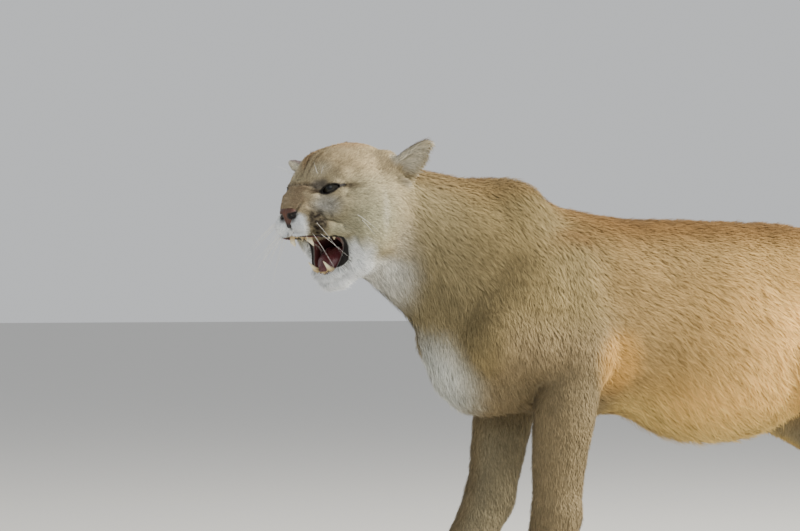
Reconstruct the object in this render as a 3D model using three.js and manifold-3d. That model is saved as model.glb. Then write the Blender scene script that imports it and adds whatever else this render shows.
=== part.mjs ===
// A cougar that stands and snarls, life size, in millimetres.
// +Z is up, the nose points along -X, and the animal's left side faces -Y.
// Its flesh is one smooth body of named bones and muscles, parted into nodes with thin cuts.
import * as THREE from 'three';
import { mergeVertices } from 'three/addons/utils/BufferGeometryUtils.js';
import Module from 'manifold-3d';

const wasm = await Module();
wasm.setup();

// Driving dimensions
const gap = 0.3; // between nodes that meet
const backHeight = 596; // top of the spine behind the shoulders
const chestHalfWidth = 104;
const bellyHalfWidth = 112;
const bellyHeight = 242; // lowest point of the belly over the ground
const elbow = { height: 382, side: 82 };
const hip = { x: 600, side: 62, height: 500 };
const eye = { side: 36, radius: 16.5, setBack: 3 };
const earHalfWidth = 23;
const mouth = { x: -9, z: -93, radius: 22, drop: 0.5 }; // the round corner of the open mouth
const canineLength = 24;
const centre = [284, 0]; // the middle of the model's box, which the origin stands under

// The head's own frame has its origin midway between the eyes, X to the nose, Y to the left and Z up.
const headPlace = { x: -406, y: -40, z: 632, turn: 199, roll: 3 };
const headFrame = new THREE.Matrix4()
  .makeRotationZ(THREE.MathUtils.degToRad(headPlace.turn))
  .multiply(new THREE.Matrix4().makeRotationX(THREE.MathUtils.degToRad(headPlace.roll)))
  .setPosition(headPlace.x, headPlace.y, headPlace.z);
const intoHead = headFrame.clone().invert();

// Distances to round forms. Each form blends into the ones before it over its own blend width.
const smoothMin = (a, b, k) => {
  const h = Math.max(k - Math.abs(a - b), 0) / k;
  return Math.min(a, b) - (h * h * k) / 4;
};
const smoothMax = (a, b, k) => -smoothMin(-a, -b, k);

// An ellipsoid.
function ball(c, r, blend = 20) {
  const far = (x, y, z) => {
    const u = (x - c[0]) / r[0];
    const v = (y - c[1]) / r[1];
    const w = (z - c[2]) / r[2];
    const k0 = Math.hypot(u, v, w);
    const k1 = Math.hypot(u / r[0], v / r[1], w / r[2]);
    return k1 < 1e-9 ? -Math.min(...r) : (k0 * (k0 - 1)) / k1;
  };
  return { far, blend };
}

// A rounded cone from a to b, narrower across by the factor flat.
function limb(a, b, ra, rb, blend = 20, flat = 1) {
  const d = [b[0] - a[0], (b[1] - a[1]) / flat, b[2] - a[2]];
  const length2 = d[0] * d[0] + d[1] * d[1] + d[2] * d[2];
  const far = (x, y, z) => {
    const p = [x - a[0], (y - a[1]) / flat, z - a[2]];
    const along = (p[0] * d[0] + p[1] * d[1] + p[2] * d[2]) / length2;
    const t = Math.min(1, Math.max(0, along));
    const reach = Math.hypot(p[0] - d[0] * t, p[1] - d[1] * t, p[2] - d[2] * t);
    return (reach - (ra + (rb - ra) * t)) * Math.min(1, flat + 0.15);
  };
  return { far, blend };
}

// Limbs along a smooth curve through points [x, y, z, radius].
function chain(points, blend, flat = 1) {
  const steps = (points.length - 1) * 3;
  const curve = new THREE.CatmullRomCurve3(points.map((p) => new THREE.Vector3(...p)));
  const radius = (t) => {
    const i = Math.min(points.length - 2, Math.floor(t * (points.length - 1)));
    return THREE.MathUtils.lerp(points[i][3], points[i + 1][3], t * (points.length - 1) - i);
  };
  const forms = [];
  for (let i = 0; i < steps; i++) {
    const [t, next] = [i / steps, (i + 1) / steps];
    const ends = [curve.getPoint(t).toArray(), curve.getPoint(next).toArray()];
    forms.push(limb(...ends, radius(t), radius(next), i ? 3 : blend, flat));
  }
  return forms;
}

const distance = (forms, x, y, z, start = 1e3) =>
  forms.reduce((d, form) => smoothMin(d, form.far(x, y, z), form.blend), start);

// The trunk, from the brisket to the rump.
const trunk = [
  ball([60, 0, 430], [235, chestHalfWidth, 148], 30),
  ball([-94, 0, 393], [92, 80, 106], 40),
  limb([-74, 0, 604], [70, 0, 545], 42, 50, 30),
  ball([312, 0, bellyHeight + 152], [205, bellyHalfWidth, 152], 40),
  limb([60, 0, backHeight - 86], [420, 0, backHeight - 94], 84, 84, 30),
  ball([565, 0, 486], [138, 98, 104], 50),
  limb([640, 0, 505], [690, 0, 515], 62, 42, 30),
];

const neck = [
  limb([-70, 0, 530], [-290, 4, 598], 104, 72, 40, 0.86),
  limb([-110, 0, 455], [-275, 0, 560], 84, 56, 40, 0.9),
  limb([-90, 0, 588], [-250, 2, 619], 44, 46, 40),
];

// Shoulder blade, upper arm and the muscle behind it, on the side s: -1 left, 1 right.
function shoulder(s) {
  return [
    limb([-52, 34 * s, 606], [-30, 72 * s, 470], 40, 58, 30, 0.8),
    limb([-40, 70 * s, 500], [-108, 74 * s, 408], 54, 50, 30, 0.85),
    limb([-104, 76 * s, 405], [30, elbow.side * s, elbow.height], 50, 46, 26, 0.8),
    limb([14, 74 * s, 520], [36, elbow.side * s, elbow.height + 8], 44, 44, 26, 0.75),
  ];
}

// The left foreleg stands upright and the right one steps a little ahead.
const forelegs = {
  left: {
    s: -1,
    bones: [[30, -elbow.side, 380, 50], [8, -79, 290, 51], [-2, -77, 190, 42], [-4, -76, 130, 37]],
    hand: [[-4, -76, 130, 38], [-26, -76, 62, 36]],
    paw: [-62, -76],
  },
  right: {
    s: 1,
    bones: [[20, elbow.side, 386, 50], [-8, 79, 300, 51], [-28, 77, 200, 42], [-38, 76, 156, 37]],
    hand: [[-38, 76, 156, 38], [-86, 76, 66, 36]],
    paw: [-124, 76],
  },
};

const hindlegs = {
  left: { s: -1, knee: [514, -86, 320], hock: [674, -78, 172], paw: [606, -78] },
  right: { s: 1, knee: [492, 86, 314], hock: [640, 78, 168], paw: [566, 78] },
};

// A paw of four toes in front of a broad pad, at [x, y], of half width w.
function paw([x, y], w) {
  const toes = [-1.5, -0.5, 0.5, 1.5].map((i) => {
    const ahead = 47 - 7 * Math.abs(i) ** 1.6;
    return ball([x - ahead, y + i * w * 0.5, 21], [27, w * 0.31, 22.5], 5);
  });
  return [ball([x, y, 28], [54, w * 0.9, 31], 16), ...toes];
}

function foreleg({ bones, hand, paw: place }) {
  return [...chain(bones, 18, 0.82), ...chain(hand, 18, 0.95), ...paw(place, 44)];
}

function hindleg({ s, knee, hock, paw: place }) {
  const [kx, ky, kz] = knee;
  const [hx, hy, hz] = hock;
  return [
    limb([hip.x - 12, hip.side * s, hip.height - 10], knee, 92, 56, 34, 0.62),
    limb([hip.x + 58, 54 * s, 462], [kx + 82, ky * 0.94, kz + 10], 62, 44, 30, 0.66),
    limb([kx - 4, ky, kz - 6], [hx - 34, hy, hz + 38], 46, 25, 22, 0.85),
    limb([kx + 62, ky, kz - 22], [hx - 30, hy, hz + 60], 38, 20, 24, 0.8),
    limb([kx + 90, hy, kz - 30], [hx + 8, hy, hz + 16], 20, 16, 20),
    limb([hx - 6, hy, hz + 2], [place[0] + 24, hy, 58], 28, 27, 20, 0.95),
    limb([kx - 60, ky * 0.9, kz + 60], [kx - 6, ky, kz + 8], 26, 36, 40),
    ...paw(place, 40),
  ];
}

// The tail hangs from the rump and lifts again at its end: [x, y, z, radius].
const tailPoints = [
  [668, 0, 524, 44], [716, 0, 506, 36], [764, 2, 442, 30], [800, 6, 350, 27], [826, 12, 260, 26],
  [856, 20, 178, 26], [904, 28, 122, 26], [966, 34, 108, 26], [1016, 36, 134, 20],
];
const tail = chain(tailPoints, 22);

const bodyForms = [
  ...trunk, ...neck, ...shoulder(-1), ...shoulder(1), ...tail,
  ...foreleg(forelegs.left), ...foreleg(forelegs.right),
  ...hindleg(hindlegs.left), ...hindleg(hindlegs.right),
];

// The head, of its left half only: y is the distance from the middle plane.
const skull = [
  ball([-88, 0, 19], [66, 58, 54], 20),
  ball([-30, 0, 22], [48, 43, 39], 26),
  limb([8, 10, 15], [-12, 42, 16], 13, 13, 12),
  limb([2, 0, 6], [45, 0, -21], 23, 17, 14),
  ball([25, 0, -12], [27, 34, 13], 8),
  ball([17, 0, -39], [42, 34, 27], 14),
  ball([36, 18, -53], [24, 21, 18], 9),
  limb([22, 31, -57], [-18, 40, -60], 13, 13, 12),
  limb([-8, 46, -24], [-58, 54, -16], 17, 21, 20),
  ball([-58, 38, -56], [46, 35, 50], 24),
  ball([-60, 36, 12], [44, 28, 34], 20),
  ball([-100, 38, -30], [38, 38, 56], 26),
  ball([-108, 50, 32], [26, 22, 26], 16),
  limb([-80, 36, -80], [-40, 9, -131], 26, 14, 16),
  ball([-34, 0, -137], [17, 18, 13], 10),
  ball([-76, 0, -104], [42, 36, 28], 22),
  ball([-58, 34, -92], [24, 16, 32], 12),
];

// The roll of the lips, from the middle of the upper lip round the corner to the chin.
const lipPath = [
  [55, 3, -68, 1.9], [46, 22, -70, 2.3], [22, 34, -71, 2.6], [-8, 37, -70, 2.8], [-26, 36, -72, 4],
  [-33, 34, -81, 5], [-33, 32, -94, 5.5], [-29, 29, -108, 5.5], [-22, 22, -123, 4.6], [-14, 12, -130, 3.8],
  [-11, 0, -132, 3.6],
];
const lips = chain(lipPath, 3);

// The open mouth: a wedge with a round corner through both cheeks, and the hollow behind it.
function mouthHollow(x, y, z) {
  const up = z - mouth.z;
  const ahead = x - mouth.x;
  const wedge = ahead < 0
    ? Math.hypot(ahead, up) - mouth.radius
    : Math.max(up - mouth.radius, (-up - mouth.radius - mouth.drop * ahead) * 0.9);
  const throat = ball([-38, 0, -92], [44, 25, 27]).far(x, y, z);
  const vault = ball([6, 0, -68], [34, 25, 13]).far(x, y, z);
  return smoothMin(smoothMin(wedge, throat, 8), vault, 6);
}

// Where an eye looks: ahead, a little outwards.
const gaze = new THREE.Vector3(0.86, 0.5, 0.03).normalize();
const gazeSide = new THREE.Vector3(0, 0, 1).cross(gaze).normalize();
const eyeCentre = new THREE.Vector3(-eye.setBack, eye.side, 0);

// Lids over the eyeball, parted by an almond slit that drops towards the nose.
function lids(d, x, y, z) {
  const p = new THREE.Vector3(x, y, z).sub(eyeCentre);
  const out = p.dot(gaze);
  const side = p.dot(gazeSide);
  const lift = p.z - side * 0.22;
  const hood = smoothMin(d, p.length() - eye.radius - 3.2, 6);
  const slit = Math.max(Math.abs(lift) - 6.4 * Math.max(0, 1 - (side / 15.5) ** 2), 4 - out) * 0.8;
  return smoothMax(hood, -slit, 1.5);
}

const nostril = [
  ball([64, 9, -41], [9, 4.2, 4.6]),
  limb([63, 10, -40], [54, 19, -35], 3, 2, 4),
];
const nosePad = [
  limb([54, 0, -33], [56, 8, -34], 9, 7.5, 8),
  limb([55, 7, -37], [52, 13, -38], 7.5, 5.5, 5),
  limb([55, 0, -37], [55, 0, -54], 9, 4.5, 6),
];

// Each ear is a cone of skin from root to tip, hollowed to a cup towards open. The left ear is drawn
// back, and the right one is laid lower and a little ahead.
const earPlaces = {
  left: { root: [-116, 56, 12], tip: [-136, 119, 69], open: [0.45, 0.3, -0.8] },
  right: { root: [-102, 56, 4], tip: [-76, 126, 49], open: [0.5, 0.3, -0.8] },
};
const ears = {};
for (const [side, { root, tip, open }] of Object.entries(earPlaces)) {
  const start = new THREE.Vector3(...root);
  const along = new THREE.Vector3(...tip).sub(start);
  const length = along.length();
  along.normalize();
  const facing = new THREE.Vector3(...open);
  facing.addScaledVector(along, -facing.dot(along)).normalize();
  ears[side] = { start, length, along, facing, across: new THREE.Vector3().crossVectors(along, facing) };
}

// Distance to a leaf that tapers to a tip, bowed about the ear's axis.
function ear({ start, length, along, facing, across }, x, y, z) {
  const p = new THREE.Vector3(x, y, z).sub(start);
  const t = p.dot(along) / length;
  const width = earHalfWidth * Math.sqrt(Math.max(0.02, 1 - Math.max(0, t) ** 1.9));
  const a = p.dot(facing);
  const b = p.dot(across);
  const outer = Math.max((Math.hypot((a + 4) / 0.72, b) - width) * 0.7, (t - 0.985) * length);
  const cup = Math.max(
    (Math.hypot((a - 7 - 4 * t) / 0.86, b) - (width - 4.6)) * 0.8,
    (0.2 - t) * length,
  );
  return smoothMax(Math.max(outer, -t * length - 14), -cup, 2);
}

function headDistance(x, ySigned, z) {
  const y = Math.abs(ySigned);
  let d = distance(skull, x, y, z);
  d = smoothMin(d, ear(ySigned > 0 ? ears.left : ears.right, x, y, z), 7);
  d = smoothMax(d, -mouthHollow(x, y, z), 5);
  d = distance(lips, x, y, z, d);
  d = lids(d, x, y, z);
  return nostril.reduce((all, form) => smoothMax(all, -form.far(x, y, z), 2), d);
}

const bodyReach = 190; // past this distance from the middle of the head, its forms don't matter
const v = new THREE.Vector3();
function animal(x, y, z) {
  const d = distance(bodyForms, x, y, z);
  v.set(x, y, z).applyMatrix4(intoHead);
  if (Math.hypot(v.x + 60, v.y, v.z + 30) > bodyReach) return d;
  return smoothMin(d, headDistance(v.x, v.y, v.z), 26);
}
// In the head's frame, with the neck that grows out of it but without the chest.
function headAnimal(x, y, z) {
  const h = headDistance(x, y, z);
  if (x > -30) return h;
  v.set(x, y, z).applyMatrix4(headFrame);
  return smoothMin(distance(neck, v.x, v.y, v.z), h, 26);
}

// The six tetrahedra of a grid cell, by the corners' bits: 1 for x, 2 for y and 4 for z.
const tetrahedra = [[0, 1, 3, 7], [0, 3, 2, 7], [0, 2, 6, 7], [0, 6, 4, 7], [0, 4, 5, 7], [0, 5, 1, 7]];

// The closed surface where field is zero inside a box [low, high], on a grid of the given step.
function surface(field, low, high, step) {
  const n = low.map((l, i) => Math.ceil((high[i] - l) / step) + 1);
  const index = (i, j, k) => (k * n[1] + j) * n[0] + i;
  const value = new Float64Array(n[0] * n[1] * n[2]);
  const at = (i, axis) => low[axis] + i * step;
  for (let k = 0; k < n[2]; k++)
    for (let j = 0; j < n[1]; j++)
      for (let i = 0; i < n[0]; i++) {
        const edge = [i, j, k].some((q, axis) => q === 0 || q === n[axis] - 1);
        const d = edge ? step : field(at(i, 0), at(j, 1), at(k, 2));
        value[index(i, j, k)] = Math.abs(d) < 1e-4 ? 1e-4 : d;
      }
  const points = [];
  const known = new Map();
  const place = (q) => [q % n[0], Math.floor(q / n[0]) % n[1], Math.floor(q / (n[0] * n[1]))];
  const crossing = (a, b) => {
    const key = a < b ? a * value.length + b : b * value.length + a;
    if (known.has(key)) return known.get(key);
    const t = Math.min(0.97, Math.max(0.03, value[a] / (value[a] - value[b])));
    const [pa, pb] = [place(a), place(b)];
    points.push(pa.map((q, axis) => at(q + (pb[axis] - q) * t, axis)));
    known.set(key, points.length - 1);
    return points.length - 1;
  };
  const faces = [];
  const cell = new Array(8);
  for (let k = 0; k < n[2] - 1; k++)
    for (let j = 0; j < n[1] - 1; j++)
      for (let i = 0; i < n[0] - 1; i++) {
        let inside = 0;
        for (let c = 0; c < 8; c++) {
          cell[c] = index(i + (c & 1), j + ((c >> 1) & 1), k + (c >> 2));
          inside += value[cell[c]] < 0 ? 1 : 0;
        }
        if (inside === 0 || inside === 8) continue;
        for (const corners of tetrahedra) {
          const q = corners.map((c) => cell[c]);
          const low4 = q.filter((c) => value[c] < 0);
          const high4 = q.filter((c) => value[c] >= 0);
          if (!low4.length || !high4.length) continue;
          let ring;
          if (low4.length === 1) {
            ring = high4.map((h) => crossing(low4[0], h));
          } else if (high4.length === 1) {
            ring = low4.map((l) => crossing(l, high4[0]));
          } else {
            ring = [[0, 0], [0, 1], [1, 1], [1, 0]].map(([a, b]) => crossing(low4[a], high4[b]));
          }
          const [A, B, C] = ring.map((r) => points[r]);
          const mean = (list, axis) => list.reduce((s, c) => s + place(c)[axis], 0) / list.length;
          const out = [0, 1, 2].map((axis) => mean(high4, axis) - mean(low4, axis));
          const u = [0, 1, 2].map((axis) => B[axis] - A[axis]);
          const w = [0, 1, 2].map((axis) => C[axis] - A[axis]);
          const facing = out[0] * (u[1] * w[2] - u[2] * w[1])
            + out[1] * (u[2] * w[0] - u[0] * w[2]) + out[2] * (u[0] * w[1] - u[1] * w[0]);
          if (facing < 0) ring.reverse();
          for (let r = 1; r + 1 < ring.length; r++) faces.push([ring[0], ring[r], ring[r + 1]]);
        }
      }
  return { points, faces };
}

// Merges edges, cheapest first, until about that many triangles are left. A merge that would fold the
// surface or pinch it isn't made, so the surface stays closed. care(point) says how much a place matters.
function thin({ points, faces }, target, care = () => 1) {
  const around = points.map(() => new Set());
  faces.forEach((f, i) => f.forEach((q) => around[q].add(i)));
  const alive = new Uint8Array(faces.length).fill(1);
  const normalOf = (a, b, c) => {
    const u = [b[0] - a[0], b[1] - a[1], b[2] - a[2]];
    const w = [c[0] - a[0], c[1] - a[1], c[2] - a[2]];
    return [u[1] * w[2] - u[2] * w[1], u[2] * w[0] - u[0] * w[2], u[0] * w[1] - u[1] * w[0]];
  };
  // Each point's error form: 10 numbers of the squared distance to the planes round it.
  const forms = points.map(() => new Float64Array(10));
  for (const f of faces) {
    const [a, b, c] = f.map((q) => points[q]);
    const n = normalOf(a, b, c);
    const size = Math.hypot(...n);
    if (size < 1e-12) continue;
    const [x, y, z] = n.map((q) => q / size);
    const w = -(x * a[0] + y * a[1] + z * a[2]);
    const part = [x * x, x * y, x * z, x * w, y * y, y * z, y * w, z * z, z * w, w * w];
    for (const q of f) {
      for (let i = 0; i < part.length; i++) forms[q][i] += part[i] * size;
    }
  }
  const error = (f, [x, y, z]) => f[0] * x * x + 2 * f[1] * x * y + 2 * f[2] * x * z + 2 * f[3] * x
    + f[4] * y * y + 2 * f[5] * y * z + 2 * f[6] * y + f[7] * z * z + 2 * f[8] * z + f[9];
  const best = (f, a, b) => {
    const middle = a.map((q, i) => (q + b[i]) / 2);
    const det = f[0] * (f[4] * f[7] - f[5] * f[5]) - f[1] * (f[1] * f[7] - f[5] * f[2])
      + f[2] * (f[1] * f[5] - f[4] * f[2]);
    if (Math.abs(det) > 1e-3 * (f[0] + f[4] + f[7]) ** 3 / 27) {
      const r = [-f[3], -f[6], -f[8]];
      const solved = [
        (r[0] * (f[4] * f[7] - f[5] * f[5]) - f[1] * (r[1] * f[7] - f[5] * r[2])
          + f[2] * (r[1] * f[5] - f[4] * r[2])) / det,
        (f[0] * (r[1] * f[7] - r[2] * f[5]) - r[0] * (f[1] * f[7] - f[5] * f[2])
          + f[2] * (f[1] * r[2] - r[1] * f[2])) / det,
        (f[0] * (f[4] * r[2] - f[5] * r[1]) - f[1] * (f[1] * r[2] - r[1] * f[2])
          + r[0] * (f[1] * f[5] - f[4] * f[2])) / det,
      ];
      const span = Math.hypot(a[0] - b[0], a[1] - b[1], a[2] - b[2]);
      if (Math.hypot(...solved.map((q, i) => q - middle[i])) < span) return solved;
    }
    return middle;
  };
  const stamp = new Uint32Array(points.length);
  const heap = [];
  const push = (entry) => {
    let i = heap.push(entry) - 1;
    while (i > 0) {
      const up = (i - 1) >> 1;
      if (heap[up].cost <= heap[i].cost) break;
      [heap[up], heap[i]] = [heap[i], heap[up]];
      i = up;
    }
  };
  const pop = () => {
    const top = heap[0];
    const last = heap.pop();
    if (heap.length) {
      heap[0] = last;
      for (let i = 0; ;) {
        const l = 2 * i + 1;
        let m = i;
        if (l < heap.length && heap[l].cost < heap[m].cost) m = l;
        if (l + 1 < heap.length && heap[l + 1].cost < heap[m].cost) m = l + 1;
        if (m === i) break;
        [heap[m], heap[i]] = [heap[i], heap[m]];
        i = m;
      }
    }
    return top;
  };
  const evenness = 2e-3; // a little dislike of long edges keeps the triangles well shaped
  const offer = (a, b) => {
    const f = forms[a].map((q, i) => q + forms[b][i]);
    const to = best(f, points[a], points[b]);
    const span2 = points[a].reduce((s, q, i) => s + (q - points[b][i]) ** 2, 0);
    const cost = (Math.max(0, error(f, to)) + evenness * span2 * span2) * care(to);
    push({ a, b, to, f, cost, sa: stamp[a], sb: stamp[b] });
  };
  const neighbours = (q) => {
    const found = new Set();
    for (const i of around[q]) {
      for (const w of faces[i]) {
        if (w !== q) found.add(w);
      }
    }
    return found;
  };
  points.forEach((_, a) => neighbours(a).forEach((b) => a < b && offer(a, b)));
  let left = faces.length;
  while (left > target && heap.length) {
    const { a, b, to, f, sa, sb } = pop();
    if (stamp[a] !== sa || stamp[b] !== sb) continue;
    const [na, nb] = [neighbours(a), neighbours(b)];
    let shared = 0;
    for (const q of na) {
      if (nb.has(q)) shared++;
    }
    if (shared !== 2) continue;
    const turns = [a, b].some((q) => [...around[q]].some((i) => {
      if (faces[i].includes(a) && faces[i].includes(b)) return false;
      const before = normalOf(...faces[i].map((w) => points[w]));
      const after = normalOf(...faces[i].map((w) => (w === q ? to : points[w])));
      const dot = before[0] * after[0] + before[1] * after[1] + before[2] * after[2];
      return dot < 0.35 * Math.hypot(...before) * Math.hypot(...after);
    }));
    if (turns) continue;
    for (const i of [...around[b]]) {
      if (faces[i].includes(a)) {
        faces[i].forEach((q) => around[q].delete(i));
        alive[i] = 0;
        left--;
      } else {
        faces[i] = faces[i].map((q) => (q === b ? a : q));
        around[a].add(i);
      }
    }
    around[b].clear();
    points[a] = to;
    forms[a] = f;
    stamp[a]++;
    stamp[b]++;
    neighbours(a).forEach((q) => offer(a, q));
  }
  return { points, faces: faces.filter((_, i) => alive[i]) };
}

function solid({ points, faces }) {
  return new wasm.Manifold(new wasm.Mesh({
    numProp: 3,
    vertProperties: Float32Array.from(points.flat()),
    triVerts: Uint32Array.from(faces.flat()),
  }));
}

// A closed three.js geometry as a solid, after a matrix.
function solidOf(geometry, matrix = new THREE.Matrix4()) {
  const plain = geometry.clone().applyMatrix4(matrix);
  plain.deleteAttribute('normal');
  plain.deleteAttribute('uv');
  const merged = mergeVertices(plain, 1e-3);
  return new wasm.Manifold(new wasm.Mesh({
    numProp: 3,
    vertProperties: merged.attributes.position.array,
    triVerts: Uint32Array.from(merged.index.array),
  }));
}

function geometryOf(made) {
  const m = made.getMesh();
  const position = new Float32Array(m.numVert * 3);
  for (let i = 0; i < m.numVert; i++) {
    position.set(m.vertProperties.subarray(i * m.numProp, i * m.numProp + 3), i * 3);
  }
  return new THREE.BufferGeometry()
    .setAttribute('position', new THREE.BufferAttribute(position, 3))
    .setIndex(new THREE.BufferAttribute(m.triVerts, 1));
}

const largest = (made) => made.decompose().sort((a, b) => b.volume() - a.volume())[0];

// A box with its middle at c, turned about X and then Y, that parts two nodes. grow widens it.
function block(c, size, turnX = 0, turnY = 0, grow = 0) {
  const matrix = new THREE.Matrix4()
    .makeRotationY(THREE.MathUtils.degToRad(turnY))
    .multiply(new THREE.Matrix4().makeRotationX(THREE.MathUtils.degToRad(turnX)))
    .setPosition(...c);
  return solidOf(new THREE.BoxGeometry(...size.map((q) => q + 2 * grow)), matrix);
}

// The half of made that lies on the side that direction points to, half a gap past the point.
const beyond = (made, point, direction) => {
  const n = new THREE.Vector3(...direction).normalize();
  return made.trimByPlane(n.toArray(), n.dot(new THREE.Vector3(...point)) + gap / 2);
};
const away = (direction) => direction.map((q) => -q);

// The mesh of made, pushed out by the amount along its corners' normals.
function grown(made, amount) {
  const plain = geometryOf(made);
  plain.computeVertexNormals();
  const [p, n] = [plain.attributes.position, plain.attributes.normal];
  for (let i = 0; i < p.count; i++) {
    p.setXYZ(
      i,
      p.getX(i) + n.getX(i) * amount,
      p.getY(i) + n.getY(i) * amount,
      p.getZ(i) + n.getZ(i) * amount,
    );
  }
  return solidOf(plain);
}

// Teeth as cones from root to tip, on one side: [root, tip, radius].
const tooth = ([root, tip, radius]) => limb(root, tip, radius, 0.9, 1.5);
const upperTeeth = [
  [[37, 18, -64], [25, 20, -64 - canineLength], 5.4],
  [[48, 2.6, -65], [49, 2.8, -74], 2.6],
  [[47, 8, -65], [48, 8.6, -75], 2.8],
  [[44, 13, -65], [45, 14, -77], 3.2],
  [[14, 25, -64], [13, 25.6, -75], 4],
  [[0, 27, -64], [-1, 27.6, -79], 5],
  [[-11, 28, -64], [-11, 28.6, -76], 4.5],
];
const upperArch = [[47, 0, -64, 4.5], [43, 12, -64, 5], [34, 19, -63, 5.5], [8, 26, -63, 5.5], [-16, 29, -65, 5]];
const lowerTeeth = [
  [[-24, 13, -124], [5, 16, -124 + canineLength * 0.65], 5],
  [[-15, 2.2, -126], [-6, 2.2, -120], 2.1],
  [[-16, 6.8, -126], [-7, 7.2, -119], 2.2],
  [[-36, 18.5, -121], [-26, 20, -112], 4],
  [[-46, 22, -112], [-36, 23, -104], 4.4],
];
const lowerArch = [
  [-18, 0, -129, 5], [-22, 11, -127, 5.5], [-34, 17, -122, 5.5], [-46, 21, -112, 5], [-56, 25, -100, 4],
];
const gumField = (arch, teeth) => {
  const forms = [...chain(arch, 3), ...teeth.map(tooth)];
  return (x, y, z) => distance(forms, x, Math.abs(y), z);
};
const tongueForms = [
  limb([-66, 0, -106], [-44, 0, -101], 15, 15, 4, 1.35),
  limb([-44, 0, -101], [-30, 0, -110], 15, 12, 10, 1.45),
  limb([-30, 0, -110], [-20, 0, -119], 12, 8, 10, 1.6),
];
const tongueField = (x, y, z) =>
  smoothMax(distance(tongueForms, x, y, z), 3.4 - Math.hypot(y, z + 88 - (x + 44) * 0.55) * 0.55, 4);
const noseField = (x, y, z) => {
  const side = Math.abs(y);
  const pad = distance(nosePad, x, side, z);
  return nostril.reduce((all, form) => smoothMax(all, -form.far(x, side, z), 1.5), pad);
};

const inHeadPlace = (made) => made.transform(headFrame.elements);
const make = (field, low, high, step, count, care) =>
  largest(solid(thin(surface(field, low, high, step), count, care)));

// Small parts of the head, each let into a pocket that is one gap wider.
const small = {
  nose: make(noseField, [32, -28, -68], [72, 28, -20], 1.6, 360),
  upper_gums: make(gumField(upperArch, upperTeeth), [-26, -44, -98], [60, 44, -52], 1.5, 620),
  lower_gums: make(gumField(lowerArch, lowerTeeth), [-62, -44, -140], [8, 44, -88], 1.5, 580),
  tongue: make(tongueField, [-90, -34, -134], [-4, 34, -78], 2.2, 300),
};
small.tongue = largest(small.tongue.subtract(grown(small.lower_gums, gap)));
for (const [name, s] of [['eye_left', 1], ['eye_right', -1]]) {
  const ball = new THREE.SphereGeometry(eye.radius, 16, 10);
  small[name] = solidOf(ball, new THREE.Matrix4().setPosition(-eye.setBack, eye.side * s, 0));
}

// The face matters most: its triangles stay smaller than the rest of the head's.
const faceCare = ([x, y, z]) => (x > -50 ? 5 : 1);
let skullSolid = make(headAnimal, [-175, -120, -185], [76, 120, 95], 2.9, 3150, faceCare);
const earCut = 24; // mm from an ear's root to where it parts from the head
for (const [side, s] of [['left', 1], ['right', -1]]) {
  const { start, along } = ears[side];
  const across = ([x, y, z]) => [x, y * s, z];
  const point = across(start.clone().addScaledVector(along, earCut).toArray());
  const direction = across(along.toArray());
  const low = [-165, s > 0 ? 48 : -150, -40];
  const high = [-40, s > 0 ? 150 : -48, 112];
  small[`ear_${side}`] = largest(beyond(make(headDistance, low, high, 2.1, 500), point, direction));
  skullSolid = largest(beyond(skullSolid, point, away(direction)));
}
for (const name of ['eye_left', 'eye_right', 'nose', 'upper_gums', 'lower_gums', 'tongue']) {
  skullSolid = largest(skullSolid.subtract(grown(small[name], gap)).subtract(small[name]));
}

// Where the head parts from the neck and from the lower jaw.
const nape = [-128, 0, -30];
const napeDirection = [-1, 0, -0.12];
const gape = [-26, 0, -95];
const gapeDirection = [-0.22, 0, -0.97];
skullSolid = largest(beyond(skullSolid, nape, away(napeDirection)));
const nodes = {
  head: inHeadPlace(largest(beyond(skullSolid, gape, away(gapeDirection)))),
  lower_jaw: inHeadPlace(largest(beyond(skullSolid, gape, gapeDirection))),
};
for (const [name, made] of Object.entries(small)) nodes[name] = inHeadPlace(made);

// The body, whose smallest triangles are at the paws, parted by boxes.
const bodyCare = ([x, y, z]) => (z < 80 ? 3 : 1);
let rest = make(animal, [-420, -190, -12], [1060, 190, 760], 8.5, 5000, bodyCare);
rest = rest.trimByPlane([0, 0, 1], 0);
const worldNape = new THREE.Vector3(...nape).applyMatrix4(headFrame).toArray();
const worldNapeDirection = new THREE.Vector3(...napeDirection).transformDirection(headFrame).toArray();
rest = largest(beyond(rest, worldNape, worldNapeDirection));
const neckBase = [-168, 0, 540];
const neckDirection = [-0.8, 0, 0.6];
nodes.neck = largest(beyond(rest, neckBase, neckDirection));
for (const name of ['ear_left', 'ear_right']) {
  nodes.neck = largest(nodes.neck.subtract(inHeadPlace(grown(small[name], gap))).subtract(nodes[name]));
}
rest = largest(beyond(rest, neckBase, away(neckDirection)));

// Takes out of the rest what lies in a box, and keeps it as a node.
function part(name, ...box) {
  nodes[name] = largest(rest.intersect(block(...box, -gap / 2)));
  rest = largest(rest.subtract(block(...box, gap / 2)));
}
part('tail_tip', [980, 40, 160], [190, 200, 300], 0, 0);
part('tail_middle', [830, 20, 250], [140, 200, 420], 0, 0);
part('tail_root', [757, 0, 440], [110, 160, 160], 0, 0);
for (const [side, s] of [['left', -1], ['right', 1]]) {
  const { bones } = forelegs[side];
  const wrist = bones[bones.length - 1];
  part(`forepaw_${side}`, [wrist[0] - 40, 100 * s, wrist[2] / 2 - 30], [260, 198, wrist[2] + 60], 0, 0);
  part(`foreleg_${side}`, [bones[1][0] + 6, 134 * s, 250], [150, 200, 240], 0, 0);
  part(`upper_foreleg_${side}`, [-48, 148 * s, 435], [250, 200, 132], 0, 0);
  const { hock, knee } = hindlegs[side];
  part(`hind_foot_${side}`, [hock[0] - 60, 100 * s, hock[2] / 2 - 30], [300, 198, hock[2] + 60], 0, 0);
  part(`shank_${side}`, [knee[0] + 80, 100 * s, knee[2] - 108], [300, 198, 170], 0, 44);
  part(`thigh_${side}`, [knee[0] + 62, 138 * s, knee[2] + 70], [286, 200, 214], 0, 0);
}
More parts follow.
